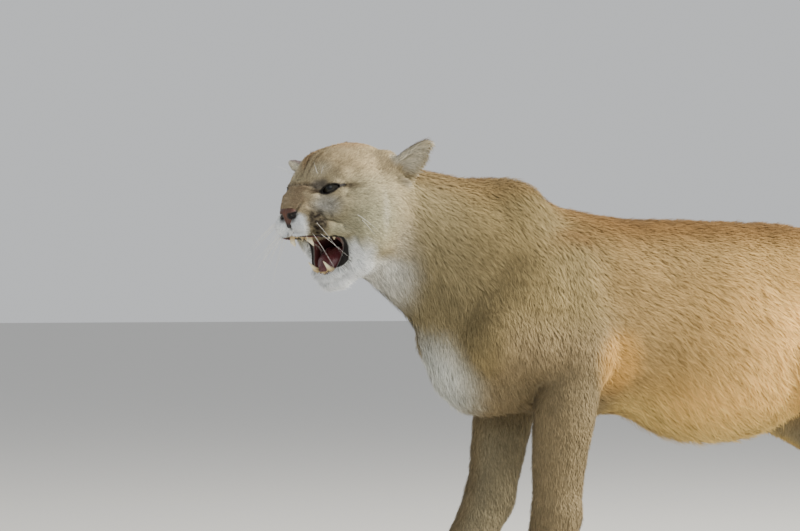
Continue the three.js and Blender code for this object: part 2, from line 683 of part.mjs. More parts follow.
nodes.torso = rest;

// Colour, roughness and metalness of each material, and the nodes that wear it.
const materials = {
  coat: { color: 0xa8906c, roughness: 0.9, metalness: 0 },
  nose: { color: 0x5d3d27, roughness: 0.55, metalness: 0 },
  mouth: { color: 0x8a4a4a, roughness: 0.4, metalness: 0 },
  eye: { color: 0x3a2c16, roughness: 0.08, metalness: 0 },
};
const wears = {
  nose: 'nose',
  tongue: 'mouth',
  upper_gums: 'mouth',
  lower_gums: 'mouth',
  eye_left: 'eye',
  eye_right: 'eye',
};

const group = new THREE.Group();
for (const [name, made] of Object.entries(nodes)) {
  const mesh = new THREE.Mesh(
    geometryOf(made.translate([-centre[0], -centre[1], 0])),
    new THREE.MeshStandardMaterial(materials[wears[name] ?? 'coat']),
  );
  mesh.name = name;
  group.add(mesh);
}

export default group;
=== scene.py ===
# A cougar that stands and snarls: skin, coat, eyes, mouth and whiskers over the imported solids.
import math
import bmesh
import bpy
import numpy as np
from mathutils import Matrix, Vector


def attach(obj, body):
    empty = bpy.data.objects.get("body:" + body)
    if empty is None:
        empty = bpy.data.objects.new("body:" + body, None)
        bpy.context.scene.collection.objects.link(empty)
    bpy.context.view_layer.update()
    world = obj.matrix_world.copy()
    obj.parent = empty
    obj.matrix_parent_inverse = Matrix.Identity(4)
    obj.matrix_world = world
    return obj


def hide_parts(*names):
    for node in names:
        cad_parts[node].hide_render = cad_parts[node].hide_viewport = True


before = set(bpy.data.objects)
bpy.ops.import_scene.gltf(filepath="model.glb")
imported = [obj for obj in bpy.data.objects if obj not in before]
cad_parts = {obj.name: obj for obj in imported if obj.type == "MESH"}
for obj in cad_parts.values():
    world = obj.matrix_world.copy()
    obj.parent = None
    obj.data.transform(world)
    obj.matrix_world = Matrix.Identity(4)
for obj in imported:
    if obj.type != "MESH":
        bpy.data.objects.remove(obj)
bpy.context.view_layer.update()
dice = np.random.default_rng(7)

# The animal's forms, in millimetres, in the frame of its own bones: the nose points along -X and
# the left side faces -Y.
build = {
    "shift": 284.0,           # from the bones' origin to the model's, along X
    "backHeight": 596.0,
    "chestHalfWidth": 104.0,
    "bellyHalfWidth": 112.0,
    "bellyHeight": 242.0,
    "elbow": (382.0, 82.0),   # height, side
    "hip": (600.0, 62.0, 500.0),       # back, side, height
    "headAt": (-406.0, -40.0, 632.0),  # the point between the eyes
    "headTurn": 199.0,        # degrees about Z
    "headRoll": 3.0,
    "headReach": 190.0,       # from the skull's middle to past the ears
    "earHalfWidth": 23.0,
}
eye = {
    "side": 36.0, "radius": 16.5, "setBack": 3.0, "gaze": (0.86, 0.5, 0.03), "lid": 3.2,
    "slitHalfWidth": 15.5, "slitHalfHeight": 5.2, "slitTilt": 0.27,
}
mouth = {"x": -9.0, "z": -93.0, "radius": 22.0, "drop": 0.5}  # its round back, and the floor's slope


def smoothMin(a, b, k):
    h = np.maximum(k - np.abs(a - b), 0) / k
    return np.minimum(a, b) - h * h * k / 4


def smoothMax(a, b, k):
    return -smoothMin(-a, -b, k)


def ball(c, r, blend=20.0, coat=None):
    c, r = np.array(c, float), np.array(r, float)

    def far(p):
        q = (p - c) / r
        k0 = np.linalg.norm(q, axis=1)
        k1 = np.maximum(np.linalg.norm(q / r, axis=1), 1e-9)
        return k0 * (k0 - 1) / k1
    return {"far": far, "blend": blend, "mid": c, "reach": r.max(), "coat": coat}


def limb(a, b, ra, rb, blend=20.0, flat=1.0, coat=None):
    squeeze = np.array([1, 1 / flat, 1])
    start, end = np.array(a, float)[:3] * squeeze, np.array(b, float)[:3] * squeeze
    along = end - start
    thick = min(1.0, flat + 0.15)

    def far(p):
        q = p * squeeze - start
        t = np.clip(q @ along / (along @ along), 0, 1)
        return (np.linalg.norm(q - t[:, None] * along, axis=1) - (ra + (rb - ra) * t)) * thick
    ends = np.array([a[:3], b[:3]], float)
    return {"far": far, "blend": blend, "mid": ends.mean(0), "coat": coat,
            "reach": np.linalg.norm(ends[1] - ends[0]) / 2 + max(ra, rb) * max(1, flat)}


def curvePoint(points, t):  # the centripetal curve through points at t from 0 to 1
    last = len(points) - 1
    i = min(last - 1, int(t * last))
    w = t * last - i
    p1, p2 = points[i], points[i + 1]
    p0 = points[i - 1] if i else 2 * p1 - p2
    p3 = points[i + 2] if i + 2 <= last else 2 * p2 - p1
    dt0, dt1, dt2 = [max(1e-4, np.sum((b - a) ** 2) ** 0.25) for a, b in ((p0, p1), (p1, p2), (p2, p3))]
    t1 = ((p1 - p0) / dt0 - (p2 - p0) / (dt0 + dt1) + (p2 - p1) / dt1) * dt1
    t2 = ((p2 - p1) / dt1 - (p3 - p1) / (dt1 + dt2) + (p3 - p2) / dt2) * dt1
    return (p1 + t1 * w + (-3 * p1 + 3 * p2 - 2 * t1 - t2) * w * w
            + (2 * p1 - 2 * p2 + t1 + t2) * w ** 3)


def chain(points, blend, flat=1.0, coat=None):
    places = [np.array(p[:3], float) for p in points]
    radii = [p[3] for p in points]
    steps = (len(points) - 1) * 3
    radius = [np.interp(i / 3, range(len(radii)), radii) for i in range(steps + 1)]
    at = [curvePoint(places, i / steps) for i in range(steps + 1)]
    return [limb(at[i], at[i + 1], radius[i], radius[i + 1], 3 if i else blend, flat, coat)
            for i in range(steps)]


def distance(forms, p, start=None):
    d = np.full(len(p), 1e3) if start is None else start.copy()
    for form in forms:
        near = np.sum((p - form["mid"]) ** 2, axis=1) < (form["reach"] + 95) ** 2
        if near.any():
            d[near] = smoothMin(d[near], form["far"](p[near]), form["blend"])
    return d


# Each coat: the way it lies, its length and how deep the skin lies under its tips, in mm.
coats = {
    "trunk": ((0.86, 0, -0.5), 17, 3.4),
    "belly": ((0.72, 0, -0.7), 27, 5.0),
    "chest": ((0.25, 0, -0.97), 20, 4.0),
    "neck": ((0.72, 0, -0.69), 16, 3.2),
    "shoulder": ((0.35, 0, -0.94), 14, 2.8),
    "leg": ((0.12, 0, -1), 10, 2.0),
    "paw": ((-0.75, 0, -0.65), 6, 1.2),
    "thigh": ((0.45, 0, -0.9), 15, 2.8),
    "tailRoot": ((0.6, 0, -0.8), 15, 2.6),
    "tailDown": ((0.28, 0, -0.96), 14, 2.6),
    "tailTip": ((0.92, 0.1, 0.1), 15, 2.6),
}
topZ, bellyZ = build["backHeight"], build["bellyHeight"]
hipX, hipY, hipZ = build["hip"]
elbowZ, elbowY = build["elbow"]
trunk = [
    ball([60, 0, 430], [235, build["chestHalfWidth"], 148], 30, "trunk"),
    ball([-94, 0, 393], [92, 80, 106], 40, "chest"),
    limb([-74, 0, 604], [70, 0, 545], 42, 50, 30, 1, "trunk"),
    ball([312, 0, bellyZ + 152], [205, build["bellyHalfWidth"], 152], 40, "belly"),
    limb([60, 0, topZ - 86], [420, 0, topZ - 94], 84, 84, 30, 1, "trunk"),
    ball([565, 0, 486], [138, 98, 104], 50, "trunk"),
    limb([640, 0, 505], [690, 0, 515], 62, 42, 30, 1, "tailRoot"),
]
neck = [
    limb([-70, 0, 530], [-290, 4, 598], 104, 72, 40, 0.86, "neck"),
    limb([-110, 0, 455], [-275, 0, 560], 84, 56, 40, 0.9, "chest"),
    limb([-90, 0, 588], [-250, 2, 619], 44, 46, 40, 1, "neck"),
]


def shoulder(s):
    return [
        limb([-52, 34 * s, 606], [-30, 72 * s, 470], 40, 58, 30, 0.8, "shoulder"),
        limb([-40, 70 * s, 500], [-108, 74 * s, 408], 54, 50, 30, 0.85, "shoulder"),
        limb([-104, 76 * s, 405], [30, elbowY * s, elbowZ], 50, 46, 26, 0.8, "shoulder"),
        limb([14, 74 * s, 520], [36, elbowY * s, elbowZ + 8], 44, 44, 26, 0.75, "shoulder"),
    ]


def paw(x, y, w):
    toes = []
    for i in (-1.5, -0.5, 0.5, 1.5):
        ahead = 47 - 7 * abs(i) ** 1.6
        toes.append(ball([x - ahead, y + i * w * 0.5, 21], [27, w * 0.31, 22.5], 5, "paw"))
    return [ball([x, y, 28], [54, w * 0.9, 31], 16, "paw")] + toes


def foreleg(bones, hand, place):
    return (chain(bones, 18, 0.82, "leg") + chain(hand, 18, 0.95, "leg") + paw(*place, 44))


def hindleg(s, knee, hock, place):
    kx, ky, kz = knee
    hx, hy, hz = hock
    return [
        limb([hipX - 12, hipY * s, hipZ - 10], knee, 92, 56, 34, 0.62, "thigh"),
        limb([hipX + 58, 54 * s, 462], [kx + 82, ky * 0.94, kz + 10], 62, 44, 30, 0.66, "thigh"),
        limb([kx - 4, ky, kz - 6], [hx - 34, hy, hz + 38], 46, 25, 22, 0.85, "leg"),
        limb([kx + 62, ky, kz - 22], [hx - 30, hy, hz + 60], 38, 20, 24, 0.8, "leg"),
        limb([kx + 90, hy, kz - 30], [hx + 8, hy, hz + 16], 20, 16, 20, 1, "leg"),
        limb([hx - 6, hy, hz + 2], [place[0] + 24, hy, 58], 28, 27, 20, 0.95, "leg"),
        limb([kx - 60, ky * 0.9, kz + 60], [kx - 6, ky, kz + 8], 26, 36, 40, 1, "thigh"),
    ] + paw(*place, 40)


tailPoints = [
    [668, 0, 524, 44], [716, 0, 506, 36], [764, 2, 442, 30], [800, 6, 350, 27], [826, 12, 260, 26],
    [856, 20, 178, 26], [904, 28, 122, 26], [966, 34, 108, 26], [1016, 36, 134, 20],
]
tail = chain(tailPoints, 22)
for i, form in enumerate(tail):
    form["coat"] = "tailRoot" if i < 4 else "tailDown" if i < 16 else "tailTip"
bodyForms = trunk + neck + shoulder(-1) + shoulder(1) + tail
bodyForms += foreleg([[30, -elbowY, 380, 50], [8, -79, 290, 51], [-2, -77, 190, 42], [-4, -76, 130, 37]],
                     [[-4, -76, 130, 38], [-26, -76, 62, 36]], (-62, -76))
bodyForms += foreleg([[20, elbowY, 386, 50], [-8, 79, 300, 51], [-28, 77, 200, 42], [-38, 76, 156, 37]],
                     [[-38, 76, 156, 38], [-86, 76, 66, 36]], (-124, 76))
bodyForms += hindleg(-1, (514, -86, 320), (674, -78, 172), (606, -78))
bodyForms += hindleg(1, (492, 86, 314), (640, 78, 168), (566, 78))

# The head's left half, in its own frame: X to the nose, Y outwards, Z up, origin between the eyes.
skull = [
    ball([-88, 0, 19], [66, 58, 54], 20), ball([-30, 0, 22], [48, 43, 39], 26),
    limb([8, 10, 15], [-12, 42, 16], 13, 13, 12), limb([2, 0, 6], [45, 0, -21], 23, 17, 14),
    ball([25, 0, -12], [27, 34, 13], 8), ball([17, 0, -39], [42, 34, 27], 14),
    ball([36, 18, -53], [24, 21, 18], 9), limb([22, 31, -57], [-18, 40, -60], 13, 13, 12),
    limb([-8, 46, -24], [-58, 54, -16], 17, 21, 20),
    ball([-58, 38, -56], [46, 35, 50], 24), ball([-60, 36, 12], [44, 28, 34], 20),
    ball([-100, 38, -30], [38, 38, 56], 26), ball([-108, 50, 32], [26, 22, 26], 16),
    limb([-80, 36, -80], [-40, 9, -131], 26, 14, 16), ball([-34, 0, -137], [17, 18, 13], 10),
    ball([-76, 0, -104], [42, 36, 28], 22), ball([-58, 34, -92], [24, 16, 32], 12),
]
lipPath = [
    [55, 3, -68, 1.8], [46, 22, -70, 2.1], [22, 34, -71, 2.4], [-8, 37, -70, 2.8], [-26, 36, -72, 4],
    [-33, 34, -81, 5], [-33, 32, -94, 5.5], [-29, 29, -108, 5.5], [-23, 22, -123, 4.6], [-17, 12, -130, 3.6],
    [-14, 0, -132, 3.4],
]
lips = chain(lipPath, 3)
nostril = [ball([64, 9, -41], [9, 4.2, 4.6]), limb([63, 10, -40], [54, 19, -35], 3, 2, 4)]
throat = ball([-38, 0, -92], [44, 25, 27])
vault = ball([6, 0, -68], [34, 25, 13])


def unit(v):
    return np.array(v, float) / np.linalg.norm(v)


gaze = unit(eye["gaze"])
gazeSide = unit(np.cross([0, 0, 1], gaze))
eyeAt = np.array([-eye["setBack"], eye["side"], 0])
earPlaces = [  # root, tip and the way the cup opens, of the left ear and then the right
    ([-116, 56, 12], [-136, 119, 69], [0.45, 0.3, -0.8]),
    ([-102, 56, 4], [-76, 126, 49], [0.5, 0.3, -0.8]),
]
ears = []
for root, tip, opening in earPlaces:
    root, opening = np.array(root, float), np.array(opening)
    earLength = np.linalg.norm(tip - root)
    along = unit(tip - root)
    facing = unit(opening - along * (opening @ along))
    ears.append((root, earLength, along, facing, np.cross(along, facing)))
headTurn = (Matrix.Rotation(math.radians(build["headTurn"]), 3, "Z")
            @ Matrix.Rotation(math.radians(build["headRoll"]), 3, "X"))
headTurn = np.array(headTurn)
headAt = np.array(build["headAt"])
skullMiddle = np.array([-60.0, 0, -30])


def toHead(p):
    return (p - headAt) @ headTurn


def fromHead(q):
    return q @ headTurn.T + headAt


def halfOf(q):  # both sides brought to the half where Y is positive
    return np.c_[q[:, 0], np.abs(q[:, 1]), q[:, 2]]


def skullFar(q):
    return np.linalg.norm(q - skullMiddle, axis=1)


def mouthHollow(q):
    up, ahead = q[:, 2] - mouth["z"], q[:, 0] - mouth["x"]
    r = mouth["radius"]
    wedge = np.where(ahead < 0, np.hypot(ahead, up) - r,
                     np.maximum(up - r, (-up - r - mouth["drop"] * ahead) * 0.9))
    return smoothMin(smoothMin(wedge, throat["far"](q), 8), vault["far"](q), 6)


def eyeSlit(q):  # the opening between the lids: below zero inside it
    p = q - eyeAt
    out, side = p @ gaze, p @ gazeSide
    lift = p[:, 2] - side * eye["slitTilt"]
    gap = eye["slitHalfHeight"] * np.maximum(0, 1 - (side / eye["slitHalfWidth"]) ** 2)
    return np.maximum(np.abs(lift + 0.4) - gap, 4 - out) * 0.8


def oneEar(q, root, length, along, facing, across):  # a flat tube that narrows to the tip, and its cup
    p = q - root
    t = p @ along / length
    width = build["earHalfWidth"] * np.sqrt(np.maximum(0.02, 1 - np.maximum(0, t) ** 1.9))
    a, b = p @ facing, p @ across
    outer = np.maximum((np.hypot((a + 4) / 0.72, b) - width) * 0.7, (t - 0.985) * length)
    cup = np.maximum((np.hypot((a - 7 - 4 * t) / 0.86, b) - (width - 4.6)) * 0.8, (0.2 - t) * length)
    return np.array([np.maximum(outer, -t * length - 14), cup, t])


def earParts(half, isLeft):  # outer form, hollow and place along the ear
    return np.where(isLeft, oneEar(half, *ears[0]), oneEar(half, *ears[1]))


def headDistance(q):
    isLeft = q[:, 1] > 0
    q = halfOf(q)
    d = distance(skull, q)
    outer, cup, _ = earParts(q, isLeft)
    d = smoothMin(d, smoothMax(outer, -cup, 2), 7)
    d = smoothMax(d, -mouthHollow(q), 5)
    d = distance(lips, q, d)
    ballGap = np.linalg.norm(q - eyeAt, axis=1) - eye["radius"] - eye["lid"]
    d = smoothMax(smoothMin(d, ballGap, 6), -eyeSlit(q), 1.5)
    for form in nostril:
        d = smoothMax(d, -form["far"](q), 2)
    return d


def animal(p):
    d = distance(bodyForms, p)
    q = toHead(p)
    near = skullFar(q) < build["headReach"]
    if near.any():
        d[near] = smoothMin(d[near], headDistance(q[near]), 26)
    return d


def slope(field, p, step=0.4):  # value and unit gradient of a field, from four corners
    corners = np.array([[1, -1, -1], [-1, -1, 1], [-1, 1, -1], [1, 1, 1]])
    values = np.array([field(p + c * step) for c in corners])
    g = values.T @ corners
    size = np.linalg.norm(g, axis=1, keepdims=True)
    return values.mean(0), g / np.maximum(size, 1e-9), size[:, 0] / (4 * step)


def fade(x, low, high):  # 0 below low, 1 above high, smooth between
    t = np.clip((x - low) / (high - low), 0, 1)
    return t * t * (3 - 2 * t)


def lump(q, centre, radii, soft=0.35):  # 1 inside an ellipsoid, fading to 0 outside
    far = np.linalg.norm((q - centre) / radii, axis=1)
    return 1 - fade(far, 1 - soft, 1 + soft)


def grain(p, size, seed=0):  # smooth noise from -1 to 1 with lumps of that size in mm
    cell = p / size + seed * 17.3
    base = np.floor(cell).astype(np.int64)
    w = cell - base
    w = w * w * (3 - 2 * w)
    total = np.zeros(len(p))
    for corner in range(8):
        c = np.array([corner & 1, corner >> 1 & 1, corner >> 2])
        k = base + c
        h = (k[:, 0] * 73856093 ^ k[:, 1] * 19349663 ^ k[:, 2] * 83492791) & 0xFFFFFF
        h = (h * 1103515245 + 12345 >> 8) & 0xFFFF
        share = np.prod(np.where(c, w, 1 - w), axis=1)
        total += share * (h / 32767.5 - 1)
    return total


# Colours of the coat, by place.
shades = {  # as the eye sees them, 0 to 255
    "back": (136, 104, 62), "flank": (166, 138, 90), "sunlitGold": (236, 190, 112), "belly": (200, 172, 108),
    "lowFlank": (232, 190, 114), "neckPaintedShade": (122, 110, 80),
    "shoulder": (148, 130, 90), "arm": (146, 127, 94), "leg": (134, 118, 88), "innerLegInShade": (140, 129, 102),
    "chest": (208, 208, 198), "neck": (160, 145, 108), "throat": (214, 211, 200), "rump": (172, 134, 82),
    "paw": (158, 140, 110), "tailTop": (142, 110, 76), "tailUnder": (176, 156, 124), "tailTip": (44, 34, 27),
    "face": (174, 160, 128), "crown": (174, 156, 122), "bridge": (138, 119, 94), "browPale": (198, 186, 158),
    "underEye": (186, 182, 170), "cheek": (164, 160, 132), "white": (244, 247, 247),
    "whiskerBed": (34, 26, 20), "rust": (178, 136, 92), "paintedHollowShade": (112, 104, 94),
    "paleStreak": (222, 216, 196),
    "lipBlack": (24, 19, 17), "lidBlackAndCreaseShade": (22, 16, 13), "mouthRed": (88, 42, 42), "mouthDepthShade": (36, 16, 17),
    "earBack": (118, 106, 104), "earRim": (208, 200, 178), "earCup": (186, 182, 170),
    "streakAndCreaseShade": (66, 48, 36), "elbow": (204, 158, 84), "sole": (58, 46, 40),
}
creaseShadeColours = [  # the fold, the colour of the shade painted in its crease, how strong and how wide in mm
    ("bridgeArch", "lidBlackAndCreaseShade", 1.0, 3.8), ("bridgeBelow", "streakAndCreaseShade", 0.7, 2.6),
    ("nostrilWing", "lidBlackAndCreaseShade", 1.0, 3.0), ("browMiddle", "streakAndCreaseShade", 0.85, 3.0),
    ("browSide", "streakAndCreaseShade", 0.45, 2.4), ("underEye", "streakAndCreaseShade", 0.3, 2.6),
]
bareFolds = [  # the fold, the colour of the shade painted in its crease and the width in mm that no fur covers
    ("bridgeArch", "lidBlackAndCreaseShade", 2.5), ("nostrilWing", "lidBlackAndCreaseShade", 2.1), ("browMiddle", "streakAndCreaseShade", 1.3),
    ("noseGroove", "lidBlackAndCreaseShade", 1.9),
]


def linear(rgb):
    c = np.array(rgb, float) / 255
    return np.where(c < 0.04045, c / 12.92, ((c + 0.055) / 1.055) ** 2.4)


shades = {name: linear(rgb) for name, rgb in shades.items()}


def lay(colour, name, weight):  # brings part of a colour over the one below
    return colour + (shades[name] - colour) * np.clip(weight, 0, 1)[:, None]


def bodyColour(p, n):
    x, y, z = p.T
    side = np.abs(y)
    seen = np.c_[x, 0 * x, z]  # places as seen from the side
    c = np.tile(shades["flank"], (len(p), 1))
    c = lay(c, "rump", fade(x, 380, 520))
    c = lay(c, "lowFlank", fade(-z, -400, -290) * fade(x, 90, 210) * fade(-x, -640, -480))
    # painted sunlight: a bright golden pool of light on the rear flank
    c = lay(c, "sunlitGold", 0.75 * lump(seen, [470, 0, 400], [190, 1, 130], 0.8))
    c = lay(c, "shoulder", fade(-x, -120, -10))
    c = lay(c, "neck", fade(-x, 130, 230))
    # painted shade on the lower sides of the neck
    c = lay(c, "neckPaintedShade", 0.8 * lump(seen, [-214, 0, 500], [96, 1, 90], 0.7))
    c = lay(c, "back", fade(n[:, 2], 0.35, 0.9) * fade(z, 480, 560) * (0.45 + 0.55 * fade(x, -60, 120)))
    c = lay(c, "back", 0.6 * fade(-side, -26, -6) * fade(z, 520, 580))
    c = lay(c, "arm", fade(-z, -480, -380) * fade(-x, -110, -70) * fade(x, -150, -90))
    c = lay(c, "leg", fade(-z, -400, -330) * fade(-x, -120, -90) * fade(x, -140, -90))
    c = lay(c, "leg", 0.75 * fade(-z, -330, -250) * fade(x, 430, 470) * fade(-x, -740, -720))
    c = lay(c, "belly", fade(-n[:, 2], 0.35, 0.9) * fade(x, 60, 140) * fade(-z, -390, -300))
    # the legs' paler inner sides, darkened with painted shade
    c = lay(c, "innerLegInShade", fade(-n[:, 1] * np.sign(y), 0.1, 0.8) * fade(-z, -330, -240))
    c = lay(c, "elbow", 0.8 * lump(seen, [88, 0, 372], [40, 1, 46], 0.5))
    c = lay(c, "chest", lump(halfOf(p), [-176, 0, 352], [70, 62, 66], 0.55) * fade(-n[:, 0], -0.2, 0.5))
    c = lay(c, "throat", fade(-n[:, 2], -0.1, 0.6) * fade(-x, 215, 290) * fade(z, 420, 470))
    c = lay(c, "paw", fade(-z, -95, -50) * fade(-x, -700, -690))
    c = lay(c, "sole", fade(-n[:, 2], 0.75, 0.95) * fade(-z, -14, -5) * fade(-x, -720, -700))
    onTail = np.maximum(fade(x, 730, 765), fade(x, 690, 730) * fade(z, 400, 440))
    c = lay(c, "tailTop", onTail * fade(n[:, 0] + n[:, 2] * 0.4, -0.4, 0.5))
    c = lay(c, "tailUnder", onTail * fade(-n[:, 0] - n[:, 2] * 0.4, -0.1, 0.8))
    return lay(c, "tailTip", fade(x + grain(p, 9) * 10, 925, 965))


def headColour(q, n):
    x, y, z = q.T
    side = np.abs(y)
    half = halfOf(q)
    c = np.tile(shades["face"], (len(q), 1))
    c = lay(c, "cheek", lump(half, [-52, 54, -46], [50, 36, 48], 0.7))
    c = lay(c, "paleStreak", 0.6 * lump(half, [-74, 60, -34], [7, 20, 26], 0.7))
    c = lay(c, "crown", fade(z + side * 0.15, 20, 44) * fade(-x, -40, 0))
    c = lay(c, "rust", 0.5 * lump(half, [-84, 0, 74], [46, 30, 18], 0.7))
    c = lay(c, "rust", 0.35 * fade(-y, -2, 3) * fade(y, -16, -8) * fade(z, 22, 40) * fade(x, -50, -30))
    mottled = 0.8 + 0.35 * grain(q, 9, 12)
    c = lay(c, "bridge", mottled * fade(-side, -36, -14) * fade(x, 0, 28) * fade(z, -40, -24)
            * fade(-z, -14, -2))
    c = lay(c, "browPale", 0.75 * lump(half, [12, 24, 28], [18, 12, 11], 0.7))
    # painted shade under the brow, over the upper lid
    c = lay(c, "paintedHollowShade", 0.9 * lump(half, [18, 28, 6], [13, 15, 8], 0.5))
    c = lay(c, "underEye", 0.9 * lump(half, [14, 38, -24], [24, 18, 14], 0.6))
    c = lay(c, "streakAndCreaseShade", 0.9 * lump(half, [22, 24, -5], [13, 7, 4], 0.5))
    c = lay(c, "streakAndCreaseShade", 0.7 * lump(half, [-22, 52, 3], [18, 12, 4.5], 0.8))
    # painted shade darkens each fold's crease
    for fold, shade, weight, wide in creaseShadeColours:
        c = lay(c, shade, weight * np.exp(-((lineFar(half, foldLines[fold][0]) / wide) ** 2)))
    c = lay(c, "cheek", 0.8 * lump(half, [2, 42, -60], [18, 14, 9], 0.7))
    spots = 0.85 + 0.3 * grain(q, 3.4, 9)
    c = lay(c, "whiskerBed", spots * lump(half, [33, 37, -49], [18, 15, 27], 0.35))
    c = lay(c, "white", lump(half, [54, 12, -55], [23, 20, 19], 0.2))
    c = lay(c, "lipBlack", fade(-side, -3, -1.6) * fade(x, 52, 58) * fade(-z, 40, 46))
    c = lay(c, "lipBlack", lump(half, [50, 0, -48], [14, 18, 9], 0.2) * fade(z, -52, -46)
            * fade(side, 2, 9) * 0.8)
    c = lay(c, "throat", fade(-z, 88, 108) * fade(-z - side * 0.35, 76, 98))
    c = lay(c, "white", fade(-z, 104, 122) * fade(x, -105, -60))
    c = lay(c, "white", 0.95 * lump(half, [-44, 42, -98], [24, 20, 36], 0.6))
    outer, cup, t = earParts(half, y > 0)
    onEar = fade(t, 0.22, 0.38) * fade(-outer, -9, -3)
    inCup = fade(-cup, -2.2, 0.4)
    facing = np.where((y > 0)[:, None], ears[0][3], ears[1][3])
    facing = facing * np.c_[np.ones(len(q)), np.sign(y), np.ones(len(q))]
    back = fade(-np.sum(n * facing, axis=1), -0.15, 0.5)
    c = lay(c, "earRim", onEar)
    c = lay(c, "earBack", onEar * back * fade(t, 0.2, 0.45))
    c = lay(c, "earCup", onEar * inCup)
    # painted shade in streaks inside the ear's cup
    return lay(c, "paintedHollowShade", 0.55 * onEar * inCup * fade(grain(q, 7, 15), -0.1, 0.5))


def bareColour(q, c):  # lips, lids, folds and the inside of the mouth: colour, with painted shade in the folds' creases and deep in the mouth, and 1 where no fur grows
    half = halfOf(q)
    hollow = mouthHollow(half)
    lipFar = distance(lips, half)
    within = fade(-half[:, 1] - fade(half[:, 0], -20, 10) * 2, -39, -35)
    inside = fade(-hollow, -2.4, -0.6) * fade(np.abs(lipFar), 0.8, 3) * within
    # painted shade: the inside of the mouth darkens towards its back
    deep = fade(-half[:, 0], 22, 62)
    # How far to the side the lip runs at each height below the eyes.
    lipSide = np.interp(-half[:, 2], [72, 81, 94, 108, 123, 130, 132], [36, 34, 32, 29, 22, 12, 0])
    outer = np.maximum(fade(half[:, 1] - lipSide, -3.5, -0.5), fade(-half[:, 2], 117, 124))
    outer = np.where(half[:, 2] > -72, 1, outer)
    lipInner = fade(-hollow, -7.5, -4.5) * fade(-lipFar, -2.2, -0.8)
    lipInner *= np.maximum(fade(-half[:, 0], -12, 0), fade(-half[:, 2], 69.6, 71))
    inside = np.maximum(inside, lipInner * (1 - outer))
    c = lay(c, "mouthRed", inside)
    c = lay(c, "mouthDepthShade", inside * deep)
    c = lay(c, "lipBlack", lipInner * outer)
    fromEye = np.linalg.norm(half - eyeAt, axis=1)
    lid = fade(-eyeSlit(half), -3.6, -1.6) * fade(-fromEye, -26, -22)
    corner = lump(half, [16, 24, -5], [8, 4.2, 5], 0.4)
    lid = np.maximum(lid, corner)
    c = lay(c, "lidBlackAndCreaseShade", lid)
    furrowed = lump(half, [61, 12, -40], [9, 7, 6], 0.3)  # the nostril's rim, and then the folds with the shade painted in their creases
    c = lay(c, "lidBlackAndCreaseShade", furrowed)
    # painted shade: each bare crease is painted dark along its fold
    for fold, shade, wide in bareFolds:
        crease = np.exp(-((lineFar(half, foldLines[fold][0]) / wide) ** 2) / 2)
        c = lay(c, shade, fade(crease, 0.25, 0.7))
        furrowed = np.maximum(furrowed, fade(crease, 0.35, 0.75))
    return c, np.maximum.reduce([inside, lipInner, lid, furrowed])


def headCoat(q):  # lie, length and depth of the head's coat
    half, isLeft = halfOf(q), q[:, 1] > 0
    side = np.sign(q[:, 1]) * fade(np.abs(q[:, 1]), 2, 14)
    way = np.c_[np.full(len(q), -1.0), side * 0.55, np.where(q[:, 2] > -10, 0.25, -0.35)]
    brow = fade(q[:, 2], 6, 22)[:, None]
    way = way * (1 - brow) + np.c_[np.full(len(q), -0.9), side * 0.25, np.full(len(q), 0.75)] * brow
    jaw = fade(-q[:, 2], 96, 116)[:, None]
    way = way * (1 - jaw) + np.array([-0.75, 0, -0.65]) * jaw
    outer, cup, t = earParts(half, isLeft)
    onEar = (fade(t, 0.1, 0.3) * fade(-outer, -12, -4))[:, None]
    earWay = np.where(isLeft[:, None], ears[0][2], ears[1][2] * [1, -1, 1])
    way = way * (1 - onEar) + earWay * onEar
    muzzle = fade(q[:, 0], -10, 25)
    long = 8.0 - 4.6 * muzzle - 3.5 * fade(-np.linalg.norm(half - eyeAt, axis=1), -34, -20)
    long = long + 5 * jaw[:, 0] * fade(-q[:, 0], -10, 40) - 3.5 * onEar[:, 0]
    for fold in ("bridgeArch", "nostrilWing", "browMiddle"):
        long = long * (1 - 0.5 * np.exp(-((lineFar(half, foldLines[fold][0]) / 5) ** 2)))
    long = long + 6 * onEar[:, 0] * fade(-cup, -1, 1) * fade(-t, -0.7, -0.3)
    deep = 1.3 - 0.6 * muzzle - 0.6 * onEar[:, 0]
    return way @ headTurn.T, np.maximum(long, 2.6), np.maximum(deep, 0.3)


def coatAt(p, n):  # colour, bareness, lie, length and depth of the coat at each place
    c = bodyColour(p, n)
    total = np.full(len(p), 1e-9)
    lie, length, depth = np.zeros((len(p), 3)), np.zeros(len(p)), np.zeros(len(p))
    for form in bodyForms:
        near = np.sum((p - form["mid"]) ** 2, axis=1) < (form["reach"] + 60) ** 2
        if not near.any():
            continue
        share = np.exp(-np.clip(form["far"](p[near]), -5, 90) / 7.0)
        way, long, deep = coats[form["coat"]]
        lie[near] += share[:, None] * np.array(way)
        length[near] += share * long
        depth[near] += share * deep
        total[near] += share
    lie /= total[:, None]
    length, depth = length / total, depth / total
    fringe = (fade(-n[:, 2], 0.1, 0.8) * fade(p[:, 0], 90, 170) * fade(-p[:, 0], -560, -470)
              * fade(p[:, 2], 200, 230))
    length += 9 * fringe
    q = toHead(p)
    onHead = fade(q[:, 0], -165, -95) * fade(-skullFar(q), -185, -165)
    bare = np.zeros(len(p))
    w = onHead > 0
    if w.any():
        face, bare[w] = bareColour(q[w], headColour(q[w], (n @ headTurn)[w]))
        way, long, deep = headCoat(q[w])
        share = onHead[w]
        c[w] += (face - c[w]) * share[:, None]
        lie[w] += (way - lie[w]) * share[:, None]
        length[w] += (long - length[w]) * share
        depth[w] += (deep - depth[w]) * share
    depth *= 1 - 0.8 * bare
    flat = fade(-p[:, 2], -12, -4)  # soles stay on the ground
    depth *= 1 - flat
    bare = np.maximum(bare, fade(-n[:, 2], 0.8, 0.95) * fade(-p[:, 2], -12, -6))
    return c, bare, lie, length, depth


